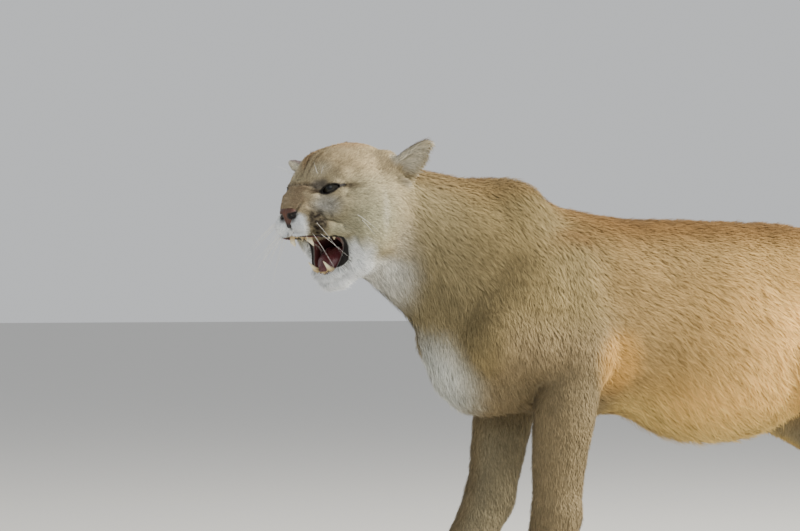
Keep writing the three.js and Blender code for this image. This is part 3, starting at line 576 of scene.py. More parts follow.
# Helpers for meshes and pieces.
def toBones(points):  # metres in the model to millimetres in the bones' frame
    return np.asarray(points) * 1000 + [build["shift"], 0, 0]


def toModel(points):
    return (np.asarray(points) - [build["shift"], 0, 0]) / 1000


def readPoints(mesh):
    flat = np.empty(len(mesh.vertices) * 3)
    mesh.vertices.foreach_get("co", flat)
    return flat.reshape(-1, 3)


def writePoints(mesh, points):
    mesh.vertices.foreach_set("co", np.ascontiguousarray(points, float).ravel())
    mesh.update()


def triangles(mesh):
    mesh.calc_loop_triangles()
    flat = np.empty(len(mesh.loop_triangles) * 3, np.int64)
    mesh.loop_triangles.foreach_get("vertices", flat)
    return flat.reshape(-1, 3)


def addPiece(name, mesh, material, replaced=()):
    piece = bpy.data.objects.new(name, mesh)
    bpy.context.scene.collection.objects.link(piece)
    mesh.materials.clear()
    mesh.materials.append(material)
    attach(piece, "root")
    if replaced:
        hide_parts(*replaced)
    return piece


def paintPoints(mesh, name, colour):
    layer = mesh.attributes.new(name, "FLOAT_COLOR", "POINT")
    layer.data.foreach_set("color", np.c_[colour, np.ones(len(colour))].astype(np.float32).ravel())


def smoothFaces(mesh):
    mesh.polygons.foreach_set("use_smooth", np.ones(len(mesh.polygons), bool))


def evaluated(piece):
    graph = bpy.context.evaluated_depsgraph_get()
    return bpy.data.meshes.new_from_object(piece.evaluated_get(graph))


# Materials.
def newMaterial(name):
    made = bpy.data.materials.new(name)
    made.use_nodes = True
    tree = made.node_tree
    return made, tree, tree.nodes["Principled BSDF"]


def node(tree, kind, **settings):
    made = tree.nodes.new(kind)
    for key, value in settings.items():
        if key in made.inputs:
            made.inputs[key].default_value = value
        else:
            setattr(made, key, value)
    return made


def noise(tree, coords, scale, detail=3.0, stretch=(1, 1, 1)):
    mapping = node(tree, "ShaderNodeMapping", Scale=stretch)
    made = node(tree, "ShaderNodeTexNoise", Scale=scale, Detail=detail)
    tree.links.new(coords.outputs["Object"], mapping.inputs["Vector"])
    tree.links.new(mapping.outputs["Vector"], made.inputs["Vector"])
    return made


def ranged(tree, source, low, high, fromLow=0.3, fromHigh=0.7):
    made = node(tree, "ShaderNodeMapRange")
    made.inputs["From Min"].default_value, made.inputs["From Max"].default_value = fromLow, fromHigh
    made.inputs["To Min"].default_value, made.inputs["To Max"].default_value = low, high
    tree.links.new(source, made.inputs["Value"])
    return made.outputs["Result"]


def shaded(tree, colour, factor):  # a colour times a number
    made = node(tree, "ShaderNodeVectorMath", operation="SCALE")
    tree.links.new(colour, made.inputs[0])
    tree.links.new(factor, made.inputs["Scale"])
    return made.outputs["Vector"]


def bumped(tree, shader, height, distanceMm, strength=1.0, below=None):
    made = node(tree, "ShaderNodeBump", Strength=strength, Distance=distanceMm / 1000)
    tree.links.new(height, made.inputs["Height"])
    if below is not None:
        tree.links.new(below.outputs["Normal"], made.inputs["Normal"])
    tree.links.new(made.outputs["Normal"], shader.inputs["Normal"])
    return made


def paintedMaterial(name, layer, roughness, grainScale, grainDepth, specular, sheen=0.0,
                    spread=(0.9, 1.1)):
    made, tree, shader = newMaterial(name)
    coords = node(tree, "ShaderNodeTexCoord")
    paint = node(tree, "ShaderNodeAttribute", attribute_name=layer)
    fine = noise(tree, coords, grainScale, 4)
    broad = noise(tree, coords, 14, 3)
    mottle = ranged(tree, broad.outputs["Fac"], *spread)
    speck = ranged(tree, fine.outputs["Fac"], *spread)
    both = node(tree, "ShaderNodeMath", operation="MULTIPLY")
    tree.links.new(mottle, both.inputs[0])
    tree.links.new(speck, both.inputs[1])
    tree.links.new(shaded(tree, paint.outputs["Color"], both.outputs["Value"]), shader.inputs["Base Color"])
    tree.links.new(ranged(tree, fine.outputs["Fac"], roughness - 0.08, roughness + 0.08),
                   shader.inputs["Roughness"])
    shader.inputs["Specular IOR Level"].default_value = specular
    shader.inputs["Sheen Weight"].default_value = sheen
    shader.inputs["Sheen Roughness"].default_value = 0.5
    bumped(tree, shader, fine.outputs["Fac"], grainDepth)
    return made


coatMaterial = paintedMaterial("coat_fur", "furColour", roughness=0.74, grainScale=700, grainDepth=0.25,
                               specular=0.12, sheen=0.03)
skinMaterial = paintedMaterial("coat_skin", "furColour", roughness=0.7, grainScale=420, grainDepth=0.6,
                               specular=0.25, sheen=0.05)
mouthMaterial = paintedMaterial("wet_mouth", "fleshColour", roughness=0.3, grainScale=900,
                                grainDepth=0.35, specular=0.55, spread=(0.85, 1.12))
teethMaterial = paintedMaterial("gums_and_teeth", "fleshColour", roughness=0.26, grainScale=500,
                                grainDepth=0.08, specular=0.5, spread=(0.93, 1.05))
padMaterial = paintedMaterial("nose_leather", "fleshColour", roughness=0.42, grainScale=1500,
                              grainDepth=0.5, specular=0.5, spread=(0.85, 1.12))
print("materials made")

# The skin.
skinPlan = {
    "voxel": 3.3,        # mm, the grid the flesh is remeshed on
    "bodyShare": 0.33,   # of the triangles kept behind the head
    "passes": 3,         # times the skin is drawn onto the forms
    "swell": 0.0011,     # metres each node swells by, to close the cuts between them
}
softParts = ("nose", "tongue", "upper_gums", "lower_gums", "eye_")
flesh = [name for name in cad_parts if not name.startswith(softParts)]


def joinedFlesh():
    joined = bmesh.new()
    for name in flesh:
        part = bmesh.new()
        part.from_mesh(bpy.data.objects[name].data)
        bmesh.ops.remove_doubles(part, verts=part.verts, dist=1e-5)
        part.normal_update()
        for v in part.verts:
            v.co += v.normal * skinPlan["swell"]
        mesh = bpy.data.meshes.new("part")
        part.to_mesh(mesh)
        part.free()
        joined.from_mesh(mesh)
        bpy.data.meshes.remove(mesh)
    mesh = bpy.data.meshes.new("skin")
    joined.to_mesh(mesh)
    joined.free()
    return mesh


def skinField(p):  # the forms with wrinkles and folds cut in
    return animal(p) + folds(p)


# Wrinkles of the snarl, in the head's frame: a line over the left half, how deep, how wide.
foldLines = {
    "bridgeArch": ([[17, 27, -3], [24, 20, 4], [33, 12, 8], [42, 0, 8]], 6.0, 2.9),
    "bridgeBelow": ([[24, 27, -9], [36, 16, -1], [45, 6, 2], [48, 0, 2]], 2.0, 1.8),
    "nostrilWing": ([[58, 15, -34], [55, 19, -27], [49, 23, -19]], 3.0, 2.2),
    "muzzleTop": ([[40, 26, -26], [28, 34, -32], [8, 42, -38]], 1.4, 3.0),
    "browMiddle": ([[36, 0, 16], [20, 0, 32], [-4, 0, 50], [-38, 0, 66], [-70, 0, 74]], 3.4, 2.6),
    "browSide": ([[28, 10, 18], [14, 9, 34], [-6, 8, 50]], 2.0, 2.2),
    "underEye": ([[16, 24, -8], [16, 32, -20], [4, 44, -24], [-12, 52, -18]], 1.2, 2.6),
    "cheek": ([[18, 41, -40], [-4, 49, -50], [-26, 53, -62], [-42, 50, -84], [-42, 44, -108]], 1.8, 5.0),
    "lipCorner": ([[-8, 50, -60], [-28, 54, -70], [-38, 50, -90]], 1.2, 4.0),
    "noseGroove": ([[66, 0, -50], [63, 0, -58], [58, 0, -68]], 2.0, 1.5),
}
foldZone = {"middle": (-20, 0, -30), "reach": 130, "under": 2.6, "padRows": 0.35}  # mm


def ontoHead(line):  # the line with a point halfway along each stretch, laid just under the surface
    corners = np.array(line, float)
    steps = np.linspace(0, len(corners) - 1, 2 * len(corners) - 1)
    path = np.array([np.interp(steps, range(len(corners)), corners[:, i]) for i in range(3)]).T
    for _ in range(5):
        value, n, _ = slope(headDistance, path)
        path = path - n * (value[:, None] + foldZone["under"])
    path[:, 1] = np.maximum(path[:, 1], 0)
    return path


foldLines = {fold: (ontoHead(line), deep, wide) for fold, (line, deep, wide) in foldLines.items()}


def lineFar(half, line):
    far = np.full(len(half), 1e3)
    for a, b in zip(line, line[1:]):
        t = np.clip((half - a) @ (b - a) / ((b - a) @ (b - a)), 0, 1)
        far = np.minimum(far, np.linalg.norm(half - a - t[:, None] * (b - a), axis=1))
    return far


def folds(p):
    q = toHead(p)
    d = np.zeros(len(p))
    near = np.linalg.norm(q - foldZone["middle"], axis=1) < foldZone["reach"]
    if not near.any():
        return d
    half = halfOf(q[near])
    total = np.zeros(len(half))
    for line, deep, wide in foldLines.values():
        far = lineFar(half, line)
        ridges = 0.4 * deep * np.exp(-(((far - 2.3 * wide) / wide) ** 2))
        total += deep * np.exp(-((far / wide) ** 2)) - ridges
    pads = lump(half, [38, 28, -54], [20, 20, 16], 0.6)
    rows = np.sin((half[:, 2] + 0.25 * half[:, 0]) * 0.95)
    total += foldZone["padRows"] * pads * rows
    d[near] = total
    return d


def drawOnto(points, passes, reach=6.0):
    for _ in range(passes):
        value, n, size = slope(skinField, points)
        depth = coatAt(points, n)[-1]
        move = np.clip((value + depth) / np.maximum(size, 0.3), -reach, reach)
        points = points - n * move[:, None]
        points[:, 2] = np.maximum(points[:, 2], 0.2)
    return points


def subdivideFace(mesh):
    bm = bmesh.new()
    bm.from_mesh(mesh)
    bm.verts.ensure_lookup_table()
    q = toHead(toBones(np.array([v.co for v in bm.verts])))
    inFace = (q[:, 0] > -52) & (np.abs(q[:, 1]) < 75) & (q[:, 2] > -165) & (q[:, 2] < 45)
    edges = [e for e in bm.edges if inFace[e.verts[0].index] and inFace[e.verts[1].index]]
    bmesh.ops.subdivide_edges(bm, edges=edges, cuts=1, use_grid_fill=True)
    bmesh.ops.triangulate(bm, faces=[f for f in bm.faces if len(f.verts) > 4])
    bm.to_mesh(mesh)
    bm.free()


def largestShell(mesh):
    bm = bmesh.new()
    bm.from_mesh(mesh)
    seen, shells = set(), []
    for v in bm.verts:
        if v in seen:
            continue
        shell, queue = [], [v]
        seen.add(v)
        while queue:
            at = queue.pop()
            shell.append(at)
            for e in at.link_edges:
                other = e.other_vert(at)
                if other not in seen:
                    seen.add(other)
                    queue.append(other)
        shells.append(shell)
    shells.sort(key=len)
    for shell in shells[:-1]:
        bmesh.ops.delete(bm, geom=shell, context="VERTS")
    bm.to_mesh(mesh)
    bm.free()
    return len(shells)


def makeSkin():
    piece = bpy.data.objects.new("skin", joinedFlesh())
    bpy.context.scene.collection.objects.link(piece)
    remesh = piece.modifiers.new("remesh", "REMESH")
    remesh.mode, remesh.voxel_size, remesh.adaptivity = "VOXEL", skinPlan["voxel"] / 1000, 0
    mesh = evaluated(piece)
    piece.modifiers.clear()
    piece.data = mesh
    print("remeshed", len(mesh.vertices), "shells", largestShell(mesh))
    q = toHead(toBones(readPoints(mesh)))
    behind = np.maximum(fade(-q[:, 0], 120, 150), fade(skullFar(q), 165, 190))
    group = piece.vertex_groups.new(name="behind")
    for step in range(11):
        chosen = np.nonzero(np.round(behind * 10) == step)[0]
        if len(chosen) and step:
            group.add(chosen.tolist(), step / 10, "REPLACE")
    thin = piece.modifiers.new("thin", "DECIMATE")
    thin.ratio, thin.vertex_group, thin.vertex_group_factor = skinPlan["bodyShare"], "behind", 1.0
    mesh = evaluated(piece)
    bpy.data.objects.remove(piece)
    subdivideFace(mesh)
    writePoints(mesh, toModel(drawOnto(toBones(readPoints(mesh)), skinPlan["passes"])))
    smoothFaces(mesh)
    return mesh


skinMesh = makeSkin()
skinPoints = toBones(readPoints(skinMesh))
_, skinNormals, _ = slope(skinField, skinPoints)
colour, bareness, lie, furLength, _ = coatAt(skinPoints, skinNormals)
# painted shade: the skin under the coat is painted darker than the fur, and bare skin keeps its colour
paintPoints(skinMesh, "furColour", colour * (0.84 + 0.16 * bareness[:, None]))
skin = addPiece("skin", skinMesh, skinMaterial, flesh)
print("skin", len(skinMesh.polygons), "faces", len(triangles(skinMesh)), "triangles")


# The coat.
furPlan = {
    "perPiece": 64000,     # tufts in one piece, three triangles each
    "body": 0.225,         # tufts on a square mm of the body
    "head": 0.52,
    "face": 1.05,
    "width": (1.3, 0.64),  # mm at the root: body, face
    "sunk": 0.5,           # mm the root lies under the skin
    "shortest": 1.6,       # mm
    "clump": 11,           # mm across the clumps that lean and shade together
    "swirl": (0.2, 0.09, 0.13),      # radians from its lie: broad, fine, each tuft's own
    "lengthSpread": (0.22, 0.12),    # shares of its length: by clump, each tuft's own
    "lift": (0.15, 0.045, 0.06),     # radians off the skin: all, by clump, each tuft's own
    "tone": (0.09, 0.07, 0.13),      # shares of its colour: by clump, broad, each tuft's own
    "patch": 0.003,        # side of each tuft's own place in the unwrap
    "outline": [           # that place's corners: the foot, the upper half and the tip
        [-0.5, -0.5], [0.5, -0.5], [0.5, 0.15], [-0.5, 0.15], [-0.5, 0.15], [0.5, 0.15], [0, 0.5],
    ],
}


def unwrapSkin():
    bpy.context.view_layer.objects.active = skin
    skin.select_set(True)
    bpy.ops.object.mode_set(mode="EDIT")
    bpy.ops.mesh.select_all(action="SELECT")
    bpy.ops.uv.smart_project(angle_limit=math.radians(66), island_margin=0.002)
    bpy.ops.object.mode_set(mode="OBJECT")
    skin.select_set(False)
    layer = skinMesh.uv_layers[0]
    layer.name = "OFBake"
    flat = np.empty(len(skinMesh.loops) * 2)
    layer.data.foreach_get("uv", flat)
    return flat.reshape(-1, 2)


def sampleRoots():
    loopUv = unwrapSkin()
    print("skin unwrapped")
    tris = triangles(skinMesh)
    triLoops = np.empty(len(tris) * 3, np.int64)
    skinMesh.loop_triangles.foreach_get("loops", triLoops)
    triLoops = triLoops.reshape(-1, 3)
    a, b, c = (skinPoints[tris[:, i]] for i in range(3))
    area = np.linalg.norm(np.cross(b - a, c - a), axis=1) / 2
    q = toHead(skinPoints)
    nearHead = fade(q[:, 0], -150, -95) * fade(-skullFar(q), -185, -165)
    nearFace = nearHead * fade(q[:, 0], -60, -15)
    density = (furPlan["body"] * (1 - nearHead) + furPlan["head"] * (nearHead - nearFace)
               + furPlan["face"] * nearFace)
    ground = fade(-skinPoints[:, 2], -110, -50)
    density *= (1 + 1.1 * ground) * (1 - fade(bareness, 0.35, 0.7))
    expected = area * density[tris].mean(1)
    counts = (expected + dice.random(len(tris))).astype(int)
    chosen = np.repeat(np.arange(len(tris)), counts)
    u, v = dice.random((2, len(chosen)))
    over = u + v > 1
    u, v = np.where(over, 1 - u, u), np.where(over, 1 - v, v)
    share = np.c_[1 - u - v, u, v]
    corners = tris[chosen]

    def mixed(values):
        return np.einsum("nk,nk...->n...", share, values[corners])
    root = {
        "at": mixed(skinPoints), "up": mixed(skinNormals), "lie": mixed(lie), "length": mixed(furLength),
        "colour": mixed(colour), "face": mixed(nearFace), "head": mixed(nearHead),
        "uv": np.einsum("nk,nkd->nd", share, loopUv[triLoops[chosen]]),
    }
    order = np.argsort(root["at"][:, 0], kind="stable")
    return {key: value[order] for key, value in root.items()}


def growTufts(root):
    at, up = root["at"], root["up"] / np.linalg.norm(root["up"], axis=1, keepdims=True)
    count = len(at)
    way = root["lie"] - up * np.sum(root["lie"] * up, axis=1, keepdims=True)
    way /= np.maximum(np.linalg.norm(way, axis=1, keepdims=True), 1e-6)
    across = np.cross(up, way)
    broad, fine, own = furPlan["swirl"]
    swirl = broad * grain(at, 34, 1) + fine * grain(at, 9, 2) + dice.normal(0, own, count)
    way, across = (way * np.cos(swirl)[:, None] + across * np.sin(swirl)[:, None],
                   across * np.cos(swirl)[:, None] - way * np.sin(swirl)[:, None])
    clump = grain(at, furPlan["clump"], 3)
    byClump, own = furPlan["lengthSpread"]
    long = root["length"] * (1 + byClump * clump + dice.normal(0, own, count))
    long = np.maximum(long, furPlan["shortest"])
    lift, byClump, own = furPlan["lift"]
    lift = np.clip(lift + byClump * clump + dice.normal(0, own, count) + 0.05 * root["face"], 0.05, 0.5)
    body, face = furPlan["width"]
    wide = (body + (face - body) * root["face"] + 0.45 * (face - body) * (root["head"] - root["face"]))
    wide = wide * (1 + dice.normal(0, 0.15, count))
    half = across * (wide / 2)[:, None]
    base = at - up * furPlan["sunk"]
    middle = at + way * (long * 0.5)[:, None] + up * (long * lift)[:, None]
    drift = across * (dice.normal(0, 0.09, count) * long)[:, None]
    tip = at + way * (long * np.cos(lift))[:, None] + up * (long * lift * 1.15)[:, None] + drift
    tip[:, 2] = np.maximum(tip[:, 2], 0.3)
    middle[:, 2] = np.maximum(middle[:, 2], 0.3)
    points = np.stack([base - half, base + half, middle + half * 0.85, middle - half * 0.85, tip], axis=1)
    byClump, broad, own = furPlan["tone"]
    tone = 1 + byClump * clump + broad * grain(at, 40, 4)
    tone = np.clip(tone + dice.normal(0, 1, count) * (own + 0.1 * root["head"]), 0.55, 1.5)
    kind = dice.random(count)
    warm = root["colour"] * tone[:, None]
    pale = (kind > 0.84) * 0.22 + (kind < 0.1) * -0.3  # some tips pale, some dark
    ends = warm * (1.12 + pale)[:, None]
    # painted shade deep in the coat: each tuft's root is a fifth darker than its middle
    tint = np.stack([warm * 0.8, warm * 0.8, warm * 0.99, warm * 0.99, ends], axis=1)
    return points, np.clip(tint, 0, 0.95)


def coatPiece(index, points, tint, uv):
    count = len(points)
    corner = np.arange(count)[:, None] * 5
    loops = np.concatenate([corner + [0, 1, 2, 3], corner + [3, 2, 4]], axis=1).ravel()
    mesh = bpy.data.meshes.new(f"coat_{index}")
    mesh.vertices.add(count * 5)
    mesh.loops.add(count * 7)
    mesh.polygons.add(count * 2)
    mesh.loops.foreach_set("vertex_index", loops.astype(np.int32))
    starts = np.arange(count)[:, None] * 7 + [0, 4]
    mesh.polygons.foreach_set("loop_start", starts.ravel().astype(np.int32))
    mesh.update(calc_edges=True)
    writePoints(mesh, toModel(points.reshape(-1, 3)))
    smoothFaces(mesh)
    paintPoints(mesh, "furColour", tint.reshape(-1, 3))
    layer = mesh.uv_layers.new(name="OFBake")
    spots = uv[:, None, :] + np.array(furPlan["outline"]) * furPlan["patch"]
    layer.data.foreach_set("uv", spots.astype(np.float32).ravel())
    mesh.validate()
    return addPiece(f"coat_{index}", mesh, coatMaterial)


roots = sampleRoots()
tuftPoints, tuftTint = growTufts(roots)
tuftCount = len(tuftPoints)
pieceCount = math.ceil(tuftCount / furPlan["perPiece"])
for piece in range(pieceCount):
    part = slice(piece * tuftCount // pieceCount, (piece + 1) * tuftCount // pieceCount)
    coatPiece(piece + 1, tuftPoints[part], tuftTint[part], roots["uv"][part])
print("coat", tuftCount, "tufts in", pieceCount, "pieces")

# Nose, gums, teeth and tongue.
noseLook = {"leather": (80, 47, 33), "front": (108, 68, 50), "nostril": (26, 18, 16), "rim": (22, 16, 15),
            "voxel": 0.9}
nosePad = [limb([54, 0, -33], [56, 8, -34], 9, 7.5, 8), limb([55, 7, -37], [52, 13, -38], 7.5, 5.5, 5),
           limb([55, 0, -37], [55, 0, -54], 9, 4.5, 6)]


def noseField(q):  # the pad with both nostrils and the groove down its middle
    half = halfOf(q)
    d = distance(nosePad, half)
    for form in nostril:
        d = smoothMax(d, -form["far"](half), 1.5)
    return d + np.exp(-((half[:, 1] / 1.3) ** 2)) * fade(half[:, 0], 50, 56)


# Teeth of the left half: root, a point on the bend, tip, and the radius at the root.
upperTeeth = [
    ([32, 17, -63], [31, 18.4, -77], [20, 19.5, -88], 4.8),
    ([41, 2.6, -63], [42, 2.7, -67], [42, 2.8, -71], 2.2),
    ([40, 7.6, -63], [41, 8, -67], [41, 8.2, -71], 2.3),
    ([37, 12, -63], [38, 12.6, -68], [38, 13, -72], 2.5),
    ([14, 25, -62], [14, 25.4, -67], [13, 25.6, -71], 3.4),
    ([0, 27, -63], [0.5, 27.5, -69], [-1, 27.6, -75], 4.2),
    ([-11, 28, -64], [-11, 28.4, -71], [-11, 28.6, -76], 4.2),
]
lowerTeeth = [
    ([-28, 13, -124], [-12, 14.6, -119], [1, 15.6, -108.4], 4.8),
    ([-19, 2.2, -128], [-16, 2.2, -126], [-14, 2.2, -124], 1.8),
    ([-20, 6.8, -128], [-17, 7, -125.5], [-15, 7.2, -123.5], 1.8),
    ([-36, 18.5, -121], [-31, 19.4, -117], [-26, 20, -112], 3.8),
    ([-46, 22, -112], [-41, 22.6, -108], [-36, 23, -104], 4.2),
]
upperArch = [[40, 0, -62, 4], [37, 11, -62, 4.5], [30, 18, -61, 5], [8, 26, -61, 5], [-16, 29, -63, 4.5]]
lowerArch = [
    [-21, 0, -129, 4.5], [-24, 11, -126, 6.4], [-34, 17, -121, 6], [-46, 21, -112, 5], [-56, 25, -100, 4],
]
jaws = [  # name, gum line, teeth and the height of the teeth's necks
    ("upper", upperArch, upperTeeth, -68), ("lower", lowerArch, lowerTeeth, -125),
]
jawLook = {"gum": (74, 38, 42), "gumSpots": (58, 42, 46), "toothNeck": (202, 176, 126),
           "toothTip": (236, 224, 190), "voxel": 0.85}
tongueLook = {"flesh": (88, 42, 46), "back": (60, 26, 30), "bumps": (124, 74, 76), "voxel": 1.1}


def toothForms(teeth):
    forms = []
    for start, bend, tip, radius in teeth:
        forms += [limb(start, bend, radius, radius * 0.74, 0.8), limb(bend, tip, radius * 0.74, 0.7, 0.8)]
    return forms


def jawForm(ridge, dents):  # the gum line with its teeth
    def far(q):
        half = halfOf(q)
        return smoothMin(distance(ridge, half), distance(dents, half), 1.2)
    return far


tongueForms = [limb([-66, 0, -106], [-44, 0, -101], 15, 15, 4, 1.35),
               limb([-44, 0, -101], [-30, 0, -110], 15, 12, 10, 1.45),
               limb([-30, 0, -110], [-20, 0, -119], 12, 8, 10, 1.6)]


def tongueField(q):
    groove = 3.4 - np.hypot(q[:, 1], q[:, 2] + 88 - (q[:, 0] + 44) * 0.55) * 0.55
    return smoothMax(distance(tongueForms, q), groove, 4)


def refined(name, field, voxel, passes=4):  # a copy of a node on a finer grid, drawn onto its form
    bm = bmesh.new()
    bm.from_mesh(bpy.data.objects[name].data)
    bmesh.ops.remove_doubles(bm, verts=bm.verts, dist=1e-5)
    for v in bm.verts:
        v.co += v.normal * 0.0006
    mesh = bpy.data.meshes.new(name)
    bm.to_mesh(mesh)
    bm.free()
    holder = bpy.data.objects.new(name, mesh)
    bpy.context.scene.collection.objects.link(holder)
    remesh = holder.modifiers.new("remesh", "REMESH")
    remesh.mode, remesh.voxel_size = "VOXEL", voxel / 1000
    mesh = evaluated(holder)
    bpy.data.objects.remove(holder)
    q = toHead(toBones(readPoints(mesh)))
    for _ in range(passes):
        value, n, size = slope(field, q, 0.2)
        q = q - n * np.clip(value / np.maximum(size, 0.3), -2.5, 2.5)[:, None]
    writePoints(mesh, toModel(fromHead(q)))
    smoothFaces(mesh)
    _, n, _ = slope(field, q, 0.2)
    return mesh, q, n


def mixTo(colour, rgb, weight):
    return colour + (linear(rgb) - colour) * np.clip(weight, 0, 1)[:, None]


mesh, q, n = refined("nose", noseField, noseLook["voxel"])
half = halfOf(q)
inNostril = np.maximum.reduce([fade(-form["far"](half), -2.2, -0.2) for form in nostril])
paint = np.tile(linear(noseLook["leather"]), (len(q), 1))
# a painted highlight on the front of the nose pad
paint = mixTo(paint, noseLook["front"], 0.5 * lump(half, [60, 0, -36], [8, 6, 5], 0.6))
# painted shade: the nostrils' hollows are painted near black
paint = mixTo(paint, noseLook["nostril"], inNostril)
paint = mixTo(paint, noseLook["rim"], fade(-half[:, 2], 49, 54) + fade(half[:, 1], 15, 18))
paintPoints(mesh, "fleshColour", paint)
addPiece("nose_pad", mesh, padMaterial, ["nose"])

for jaw, arch, teeth, neckHeight in jaws:
    ridge, dents = chain(arch, 3), toothForms(teeth)
    mesh, q, n = refined(jaw + "_gums", jawForm(ridge, dents), jawLook["voxel"])
    half = halfOf(q)
    onTooth = fade(distance(ridge, half) - distance(dents, half), 0.3, 1.3)
    fromNeck = np.abs(half[:, 2] - neckHeight)
    paint = np.tile(linear(jawLook["gum"]), (len(q), 1))
    paint = mixTo(paint, jawLook["gumSpots"], fade(grain(q, 7, 5), 0.05, 0.45) * 0.9)
    paint = mixTo(paint, jawLook["toothNeck"], onTooth)
    paint = mixTo(paint, jawLook["toothTip"], onTooth * fade(fromNeck, 3, 10))
    paintPoints(mesh, "fleshColour", paint)
    addPiece(jaw + "_jaw_teeth", mesh, teethMaterial, [jaw + "_gums"])

mesh, q, n = refined("tongue", tongueField, tongueLook["voxel"])
bumps = grain(q, 1.6, 6) * 0.35 * fade(n[:, 2], -0.2, 0.4)
writePoints(mesh, toModel(fromHead(q + n * bumps[:, None])))
paint = np.tile(linear(tongueLook["flesh"]), (len(q), 1))
# painted shade: the tongue darkens towards the back of the mouth
paint = mixTo(paint, tongueLook["back"], fade(-q[:, 0], 35, 60))
paint = mixTo(paint, tongueLook["bumps"], fade(bumps, 0.05, 0.25) * 0.5)
paintPoints(mesh, "fleshColour", paint)
addPiece("tongue_flesh", mesh, mouthMaterial, ["tongue"])
print("mouth done")

# Eyes. A ring runs from one angle to the next, in radians from the gaze.
eyeLook = {
    "pupil": (8, 8, 9), "pupilEdge": (0.22, 0.27),
    "iris": (36, 34, 27), "irisEdge": (0.5, 0.56), "fibres": 31,
    "rim": (26, 22, 16), "rimEdge": (0.42, 0.52),
    "white": (46, 38, 34),
    "bulge": 0.9, "bulgeEdge": (0.1, 0.62),  # mm the cornea stands out
}
eyeMaterial = paintedMaterial("eye_surface", "fleshColour", roughness=0.16, grainScale=300,
                              grainDepth=0.01, specular=0.3)
eyeShader = eyeMaterial.node_tree.nodes["Principled BSDF"]
eyeShader.inputs["Coat Weight"].default_value = 0.12
eyeShader.inputs["Coat Roughness"].default_value = 0.06
for name, s in (("eye_left", 1), ("eye_right", -1)):
    bm = bmesh.new()
    bmesh.ops.create_uvsphere(bm, u_segments=56, v_segments=40, radius=eye["radius"])
    mesh = bpy.data.meshes.new(name + "_ball")
    bm.to_mesh(mesh)
    bm.free()
    p = readPoints(mesh)
    look = gaze * [1, s, 1]
    away = np.arccos(np.clip(p @ look / eye["radius"], -1, 1))
    p = p * (1 + eyeLook["bulge"] / eye["radius"] * (1 - fade(away, *eyeLook["bulgeEdge"])))[:, None]
    writePoints(mesh, toModel(fromHead(p + eyeAt * [1, s, 1])))
    smoothFaces(mesh)
    spin = np.arctan2(p[:, 2], p @ (gazeSide * [1, s, 1]))
    fibre = 0.85 + 0.15 * np.sin(spin * eyeLook["fibres"])
    paint = np.tile(linear(eyeLook["white"]), (len(p), 1))
    paint = mixTo(paint, eyeLook["iris"], 1 - fade(away, *eyeLook["irisEdge"])) * fibre[:, None]
    paint = mixTo(paint, eyeLook["rim"], fade(away, *eyeLook["rimEdge"]))
    paint = mixTo(paint, eyeLook["pupil"], 1 - fade(away, *eyeLook["pupilEdge"]))
    paintPoints(mesh, "fleshColour", paint)
    addPiece(name + "_ball", mesh, eyeMaterial, [name])
print("eyes done")

# Whiskers, planted in rows and columns on each side.
whiskerPlan = {
    "thick": 0.42,                       # mm across the root
    "points": 9,
    "seed": 11,
    "left": ((1, 3), (0,), (1, 2), ()),  # the columns planted in each row
    "right": ((0, 1, 2, 3),) * 4,
    "colour": (0.86, 0.85, 0.8, 1),
}
loneHairs = [  # above the eye and on the cheek: root, way and length
    ([20, 27, 26], [0.8, 0.5, 0.7], 44), ([16, 32, 26], [0.6, 0.7, 0.6], 36),
    ([-24, 56, -34], [-0.5, 0.7, -0.5], 44), ([-30, 56, -40], [-0.5, 0.6, -0.7], 38),
]
whiskerDice = np.random.default_rng(whiskerPlan["seed"])
whiskerMaterial, whiskerTree, whiskerShader = newMaterial("whisker")
whiskerNoise = noise(whiskerTree, node(whiskerTree, "ShaderNodeTexCoord"), 60)
whiskerGloss = ranged(whiskerTree, whiskerNoise.outputs["Fac"], 0.3, 0.45)
whiskerShader.inputs["Base Color"].default_value = whiskerPlan["colour"]
whiskerTree.links.new(whiskerGloss, whiskerShader.inputs["Roughness"])


def whiskerTube(curve, start, way, length, sag, thick):
    spline = curve.splines.new("POLY")
    count = whiskerPlan["points"]
    spline.points.add(count - 1)
    for i in range(count):
        t = i / (count - 1)
        at = start + way * length * t + np.array([-0.25, 0, -1]) * sag * t * t
        spline.points[i].co = (*toModel(fromHead(at[None]))[0], 1)
        spline.points[i].radius = thick * (1 - 0.9 * t)


def plantWhisker(curve, start, way, length, sag, thick):
    _, n, _ = slope(headDistance, start[None])
    start = start - n[0] * (headDistance(start[None])[0] + 1.5)
    whiskerTube(curve, start, way, length, sag, whiskerPlan["thick"] * thick)


def whiskerWay(s, row, column):
    if s < 0:
        way = [0.42 - 0.2 * column, -0.8, -0.5 - 0.12 * row + 0.06 * column]
    else:
        way = [0.12 - 0.34 * column, 0.42, -0.85 + 0.16 * column]
    return unit(unit(way) + whiskerDice.normal(0, 0.1, 3))


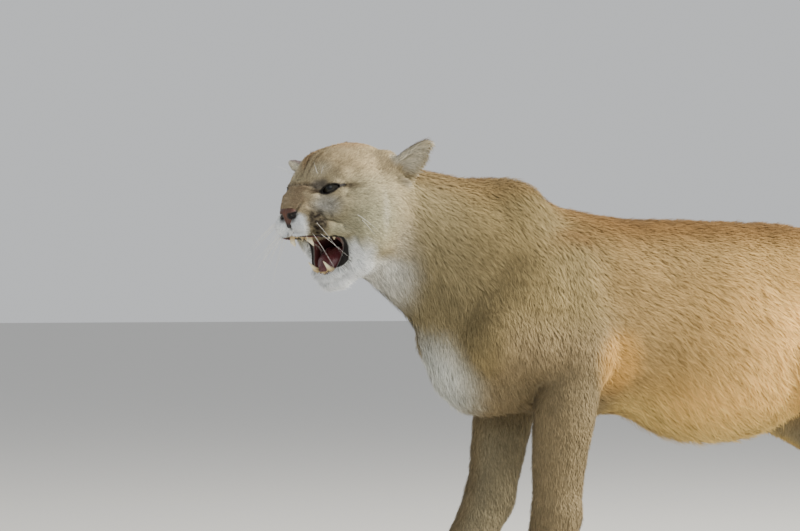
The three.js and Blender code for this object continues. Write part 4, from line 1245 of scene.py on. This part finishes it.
def growWhiskers():
    curve = bpy.data.curves.new("whiskers", "CURVE")
    curve.dimensions = "3D"
    curve.bevel_depth = 0.001
    curve.bevel_resolution = 1
    for s, side, thick in ((1, "left", 0.55), (-1, "right", 1.1)):
        for row, columns in enumerate(whiskerPlan[side]):
            for k in columns:
                start = np.array([47 - 7 * k - 0.6 * row, s * (23 + 3 * k), -47 - 5 * row])
                way = whiskerWay(s, row, k)
                length = (64 + 10 * k + whiskerDice.normal(0, 8)) * (0.8 if k == 0 else 1)
                plantWhisker(curve, start, way, length, 16 + whiskerDice.normal(0, 4), thick)
        for at, way, length in loneHairs:
            start = np.array(at, float) * [1, s, 1]
            plantWhisker(curve, start, unit(np.array(way) * [1, s, 1]), length, 10, 0.8)
    holder = bpy.data.objects.new("whiskers", curve)
    bpy.context.scene.collection.objects.link(holder)
    mesh = evaluated(holder)
    bpy.data.objects.remove(holder)
    bm = bmesh.new()
    bm.from_mesh(mesh)
    bmesh.ops.holes_fill(bm, edges=bm.edges, sides=0)
    bm.to_mesh(mesh)
    bm.free()
    smoothFaces(mesh)
    return mesh


addPiece("whisker_hairs", growWhiskers(), whiskerMaterial)
print("whiskers done")

# Camera, floor and lights.
view = {"azimuth": -28.0, "away": 9.0, "lens": 261.0, "height": 0.518, "across": -0.209}  # degrees, m, mm
studio = {
    "floor": (0.62, 0.61, 0.59, 1),
    "air": (0.86, 0.88, 0.9, 1),
    "airStrength": 0.74,
    "keyLight": ((3.9, -2.4, 3.7), (0, 0, 0.4), 1.3, 820, (1.0, 0.96, 0.85)),  # at, aim, size, watts, tint
    "fillLight": ((-3.2, -3.6, 2.4), (-0.3, 0, 0.45), 2.6, 40, (0.95, 0.98, 1.0)),
}
turn = math.radians(view["azimuth"])
aside, ahead = Vector((math.cos(turn), math.sin(turn), 0)), Vector((-math.sin(turn), math.cos(turn), 0))
target = aside * view["across"] + Vector((-build["shift"] / 1000, 0, view["height"]))
camera = bpy.data.objects.new("camera", bpy.data.cameras.new("camera"))
bpy.context.scene.collection.objects.link(camera)
camera.location = target - ahead * view["away"]
camera.rotation_euler = ahead.to_track_quat("-Z", "Y").to_euler()
camera.data.lens = view["lens"]
camera.data.clip_end = 200
bpy.context.scene.camera = camera

floorForm = bmesh.new()
bmesh.ops.create_grid(floorForm, x_segments=2, y_segments=2, size=40)
floorMesh = bpy.data.meshes.new("floor")
floorForm.to_mesh(floorMesh)
floorForm.free()
floor = bpy.data.objects.new("floor", floorMesh)
bpy.context.scene.collection.objects.link(floor)
floorMaterial, _, floorShader = newMaterial("floor")
floorShader.inputs["Base Color"].default_value = studio["floor"]
floorShader.inputs["Roughness"].default_value = 0.9
floorMesh.materials.append(floorMaterial)

world = bpy.data.worlds.new("world")
bpy.context.scene.world = world
world.use_nodes = True
air = world.node_tree.nodes["Background"]
air.inputs["Color"].default_value = studio["air"]
air.inputs["Strength"].default_value = studio["airStrength"]


def areaLight(name, at, aim, size, watts, tint):
    lamp = bpy.data.lights.new(name, "AREA")
    lamp.size, lamp.energy, lamp.color = size, watts, tint
    holder = bpy.data.objects.new(name, lamp)
    bpy.context.scene.collection.objects.link(holder)
    holder.location = at
    holder.rotation_euler = (Vector(aim) - Vector(at)).to_track_quat("-Z", "Y").to_euler()


for light in ("keyLight", "fillLight"):
    areaLight(light, *studio[light])

print("stage set")
